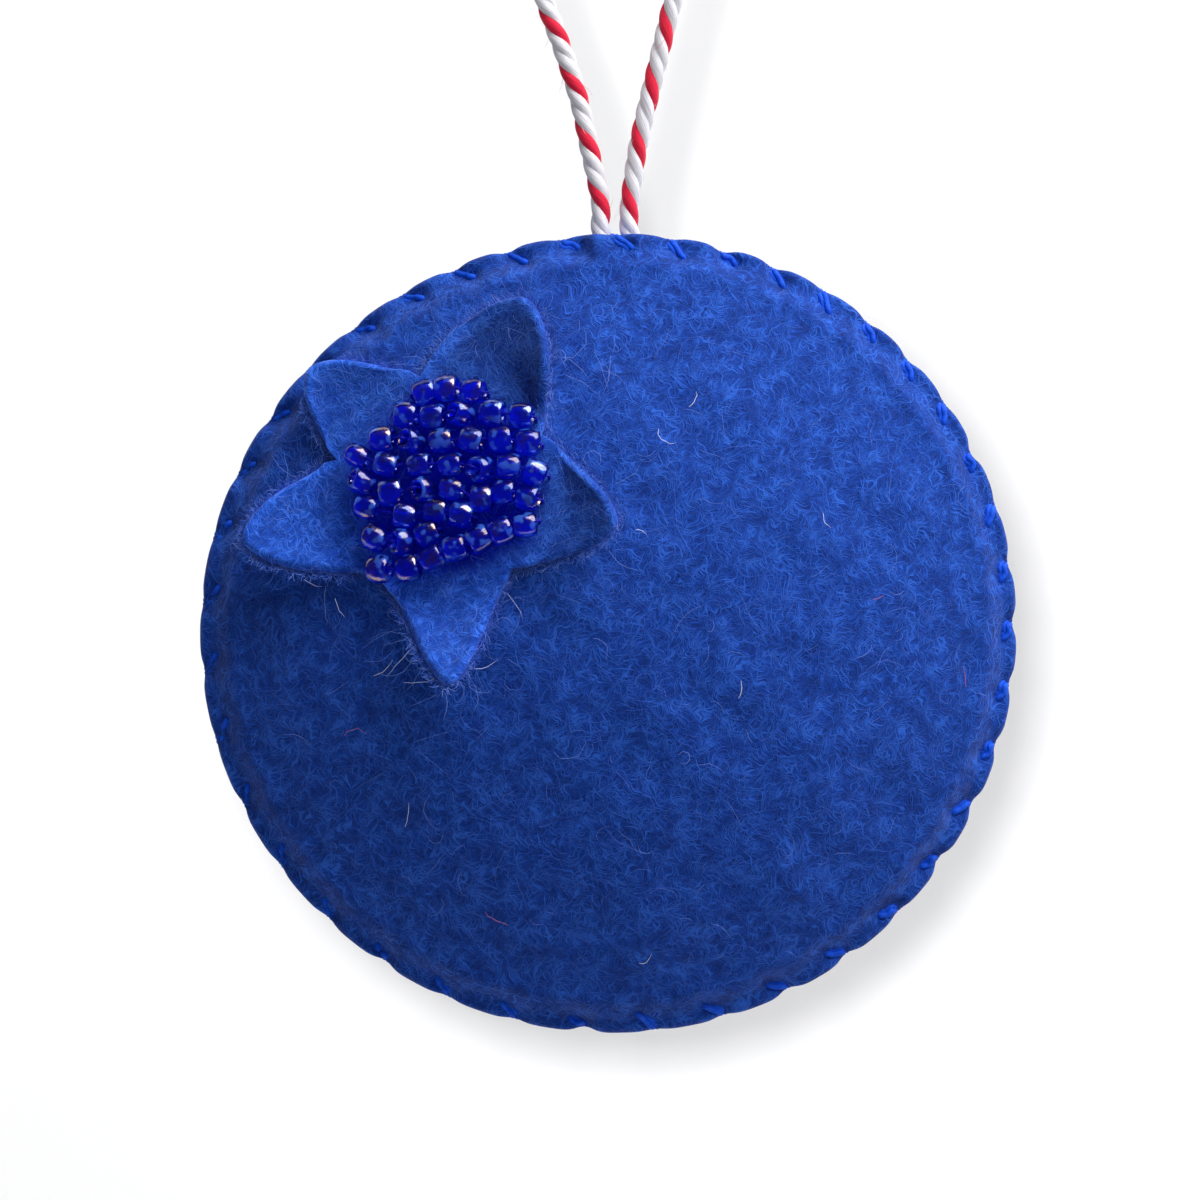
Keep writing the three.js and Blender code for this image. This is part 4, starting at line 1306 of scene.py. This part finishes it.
# %% Long stray hairs
# About a third of them start at the star's edge, the rest lie on the front felt.
STRAYS = 260
HAIR_DROOP = 1.0
luck = np.random.default_rng(41)


def off_star(x, z, height):
    """Places along springy hairs that start at a petal's edge and droop a little towards the felt"""
    edge_rise = star_rise(x[:, :1], z[:, :1]) + STAR_SEAT
    drop = np.linspace(0, 1, HAIR_POINTS) * np.minimum(edge_rise - felt_rise(x, z), HAIR_DROOP)
    return np.stack([x, -(edge_rise - drop + height), z], axis=-1)


number = luck.choice(len(outline), STRAYS, p=edge_odds)
by_star = luck.uniform(0, 1, STRAYS) < 0.32
angle, radius = luck.uniform(0, 2 * np.pi, STRAYS), 31 * np.sqrt(luck.uniform(0, 1, STRAYS))
x, z = np.where(by_star, (STAR_MIDDLE + outline[number]).T, at_angle(angle, radius))
edge_heading = edge_outward[number] + luck.normal(0, 0.8, STRAYS)
heading = np.where(by_star, edge_heading, luck.uniform(0, 2 * np.pi, STRAYS))
spread = (luck.uniform(1.5, 4.5, STRAYS), luck.normal(0, 1.9, STRAYS), luck.uniform(0.1, 0.5, STRAYS))
star_lines = lay_hairs(luck, x, z, heading, *spread, off_star)
felt_lines = lay_hairs(luck, x, z, heading, *spread, on_felt(-1))
lines = np.where(by_star[:, None, None], star_lines, felt_lines)
thickness, tone = luck.uniform(0.035, 0.06, STRAYS), luck.uniform(0.65, 1.0, STRAYS)
add_hairs("stray_hairs", lines, thickness, tone, "wool_felt", within_rim(lines, EDGE_MARGIN))

# %% Lint
# Lint is short cotton fluff, matt, and shows as pale scratches on the blue. Its places, as x, z from
# the middle of the disc and a heading in degrees, are read off the photograph.
WHITE_LINT = (
    (7, 20.8, 60), (4.6, 19.4, -50), (19.6, 11.4, -60), (-19.2, -18.4, 80), (-22.4, -4, 40),
    (2.3, -30.6, 20), (-28.5, 20.3, 35), (11.6, -6.3, 75),
)
PINK_LINT = ((-24.8, -10, 15), (33.1, -5.4, 100), (-9, -27, 160), (24, 3, 20))
PETAL_LINT = (
    (-13.4, -2.6, 8), (-14.9, -3.4, 200), (-10.6, 4.3, -50), (-28.6, 5.2, -25), (-25.4, 3.6, -70),
    (-17.6, -1.0, 225), (2.1, 9.4, -20),
)
LINT = (
    ("white_lint", WHITE_LINT, "#d9dcec", 2.6, on_felt(-1)),
    ("pink_lint", PINK_LINT, "#b06a8e", 2.6, on_felt(-1)),
    ("petal_lint", PETAL_LINT, "#aebcec", 4.0, off_star),
)
for name, places, colour, longest, surface in LINT:
    material, tree = new_material(name)
    add_node(tree, "Principled BSDF", {"Base Color": linear(colour), "Roughness": 0.8})
    luck = np.random.default_rng(len(places))
    x, z, heading = np.array(places, dtype=float).T
    count = len(places)
    lines = lay_hairs(
        luck, x, z, np.radians(heading), length=luck.uniform(1.2, longest, count),
        bend=luck.normal(0, 1.2, count), lift=luck.uniform(0.1, 0.3, count), surface=surface,
    )
    add_hairs(name, lines, luck.uniform(0.06, 0.09, count), np.ones(count), "wool_felt", material=material)

# %% [markdown]
# Cotton yarn sheds as well: short ends stick out of the twine all along and soften its outline. They
# could be left to a noisy bump, but that doesn't change an outline, so they are hairs too. Each takes
# the red or the white of the yarn that it grows from.

# %% Loose cotton on the twine
TWINE_FUZZ = 900
FUZZ_ENDS = 20
FUZZ_START = 0.38 * TWINE
loose_cotton = fine_hair("loose_cotton_fibre", {0: "#dc2a42", 1: "#ffffff"}, {"Roughness": 0.9})
luck = np.random.default_rng(51)
side, up = frames(twine_path[None])
at = luck.integers(FUZZ_ENDS, len(twine_path) - FUZZ_ENDS, TWINE_FUZZ)
turn = luck.uniform(0, 2 * np.pi, TWINE_FUZZ)[:, None]
off_red = np.cos(turn + 2 * np.pi * (TWINE_STEP * at[:, None] + STRIPES_AHEAD) / TWINE_PITCH)
on_white = (off_red[:, 0] < 0.5) * 1.0
outward = np.cos(turn) * side[0, at] + np.sin(turn) * up[0, at]
around = np.cos(turn) * up[0, at] - np.sin(turn) * side[0, at]
along = np.gradient(twine_path, axis=0)[at]
way = along / np.linalg.norm(along, axis=1, keepdims=True) * luck.choice([-1, 1], TWINE_FUZZ)[:, None]
way = way + luck.uniform(0.1, 0.9, TWINE_FUZZ)[:, None] * outward
way = way + luck.normal(0, 0.5, TWINE_FUZZ)[:, None] * around
t = np.linspace(0, 1, HAIR_POINTS)[:, None]
length = (0.3 + luck.exponential(0.25, TWINE_FUZZ))[:, None, None]
curl = luck.normal(0, 0.35, TWINE_FUZZ)[:, None, None] * around[:, None] - 0.3 * outward[:, None]
start = twine_path[at] + FUZZ_START * outward
lines = start[:, None] + length * (t * way[:, None] + t**2 * curl) - DISC_MIDDLE
thickness = luck.uniform(0.025, 0.036, TWINE_FUZZ)
fuzz = add_hairs("twine_fuzz", lines, thickness, on_white, "bakers_twine", material=loose_cotton, body=None)
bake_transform(fuzz)
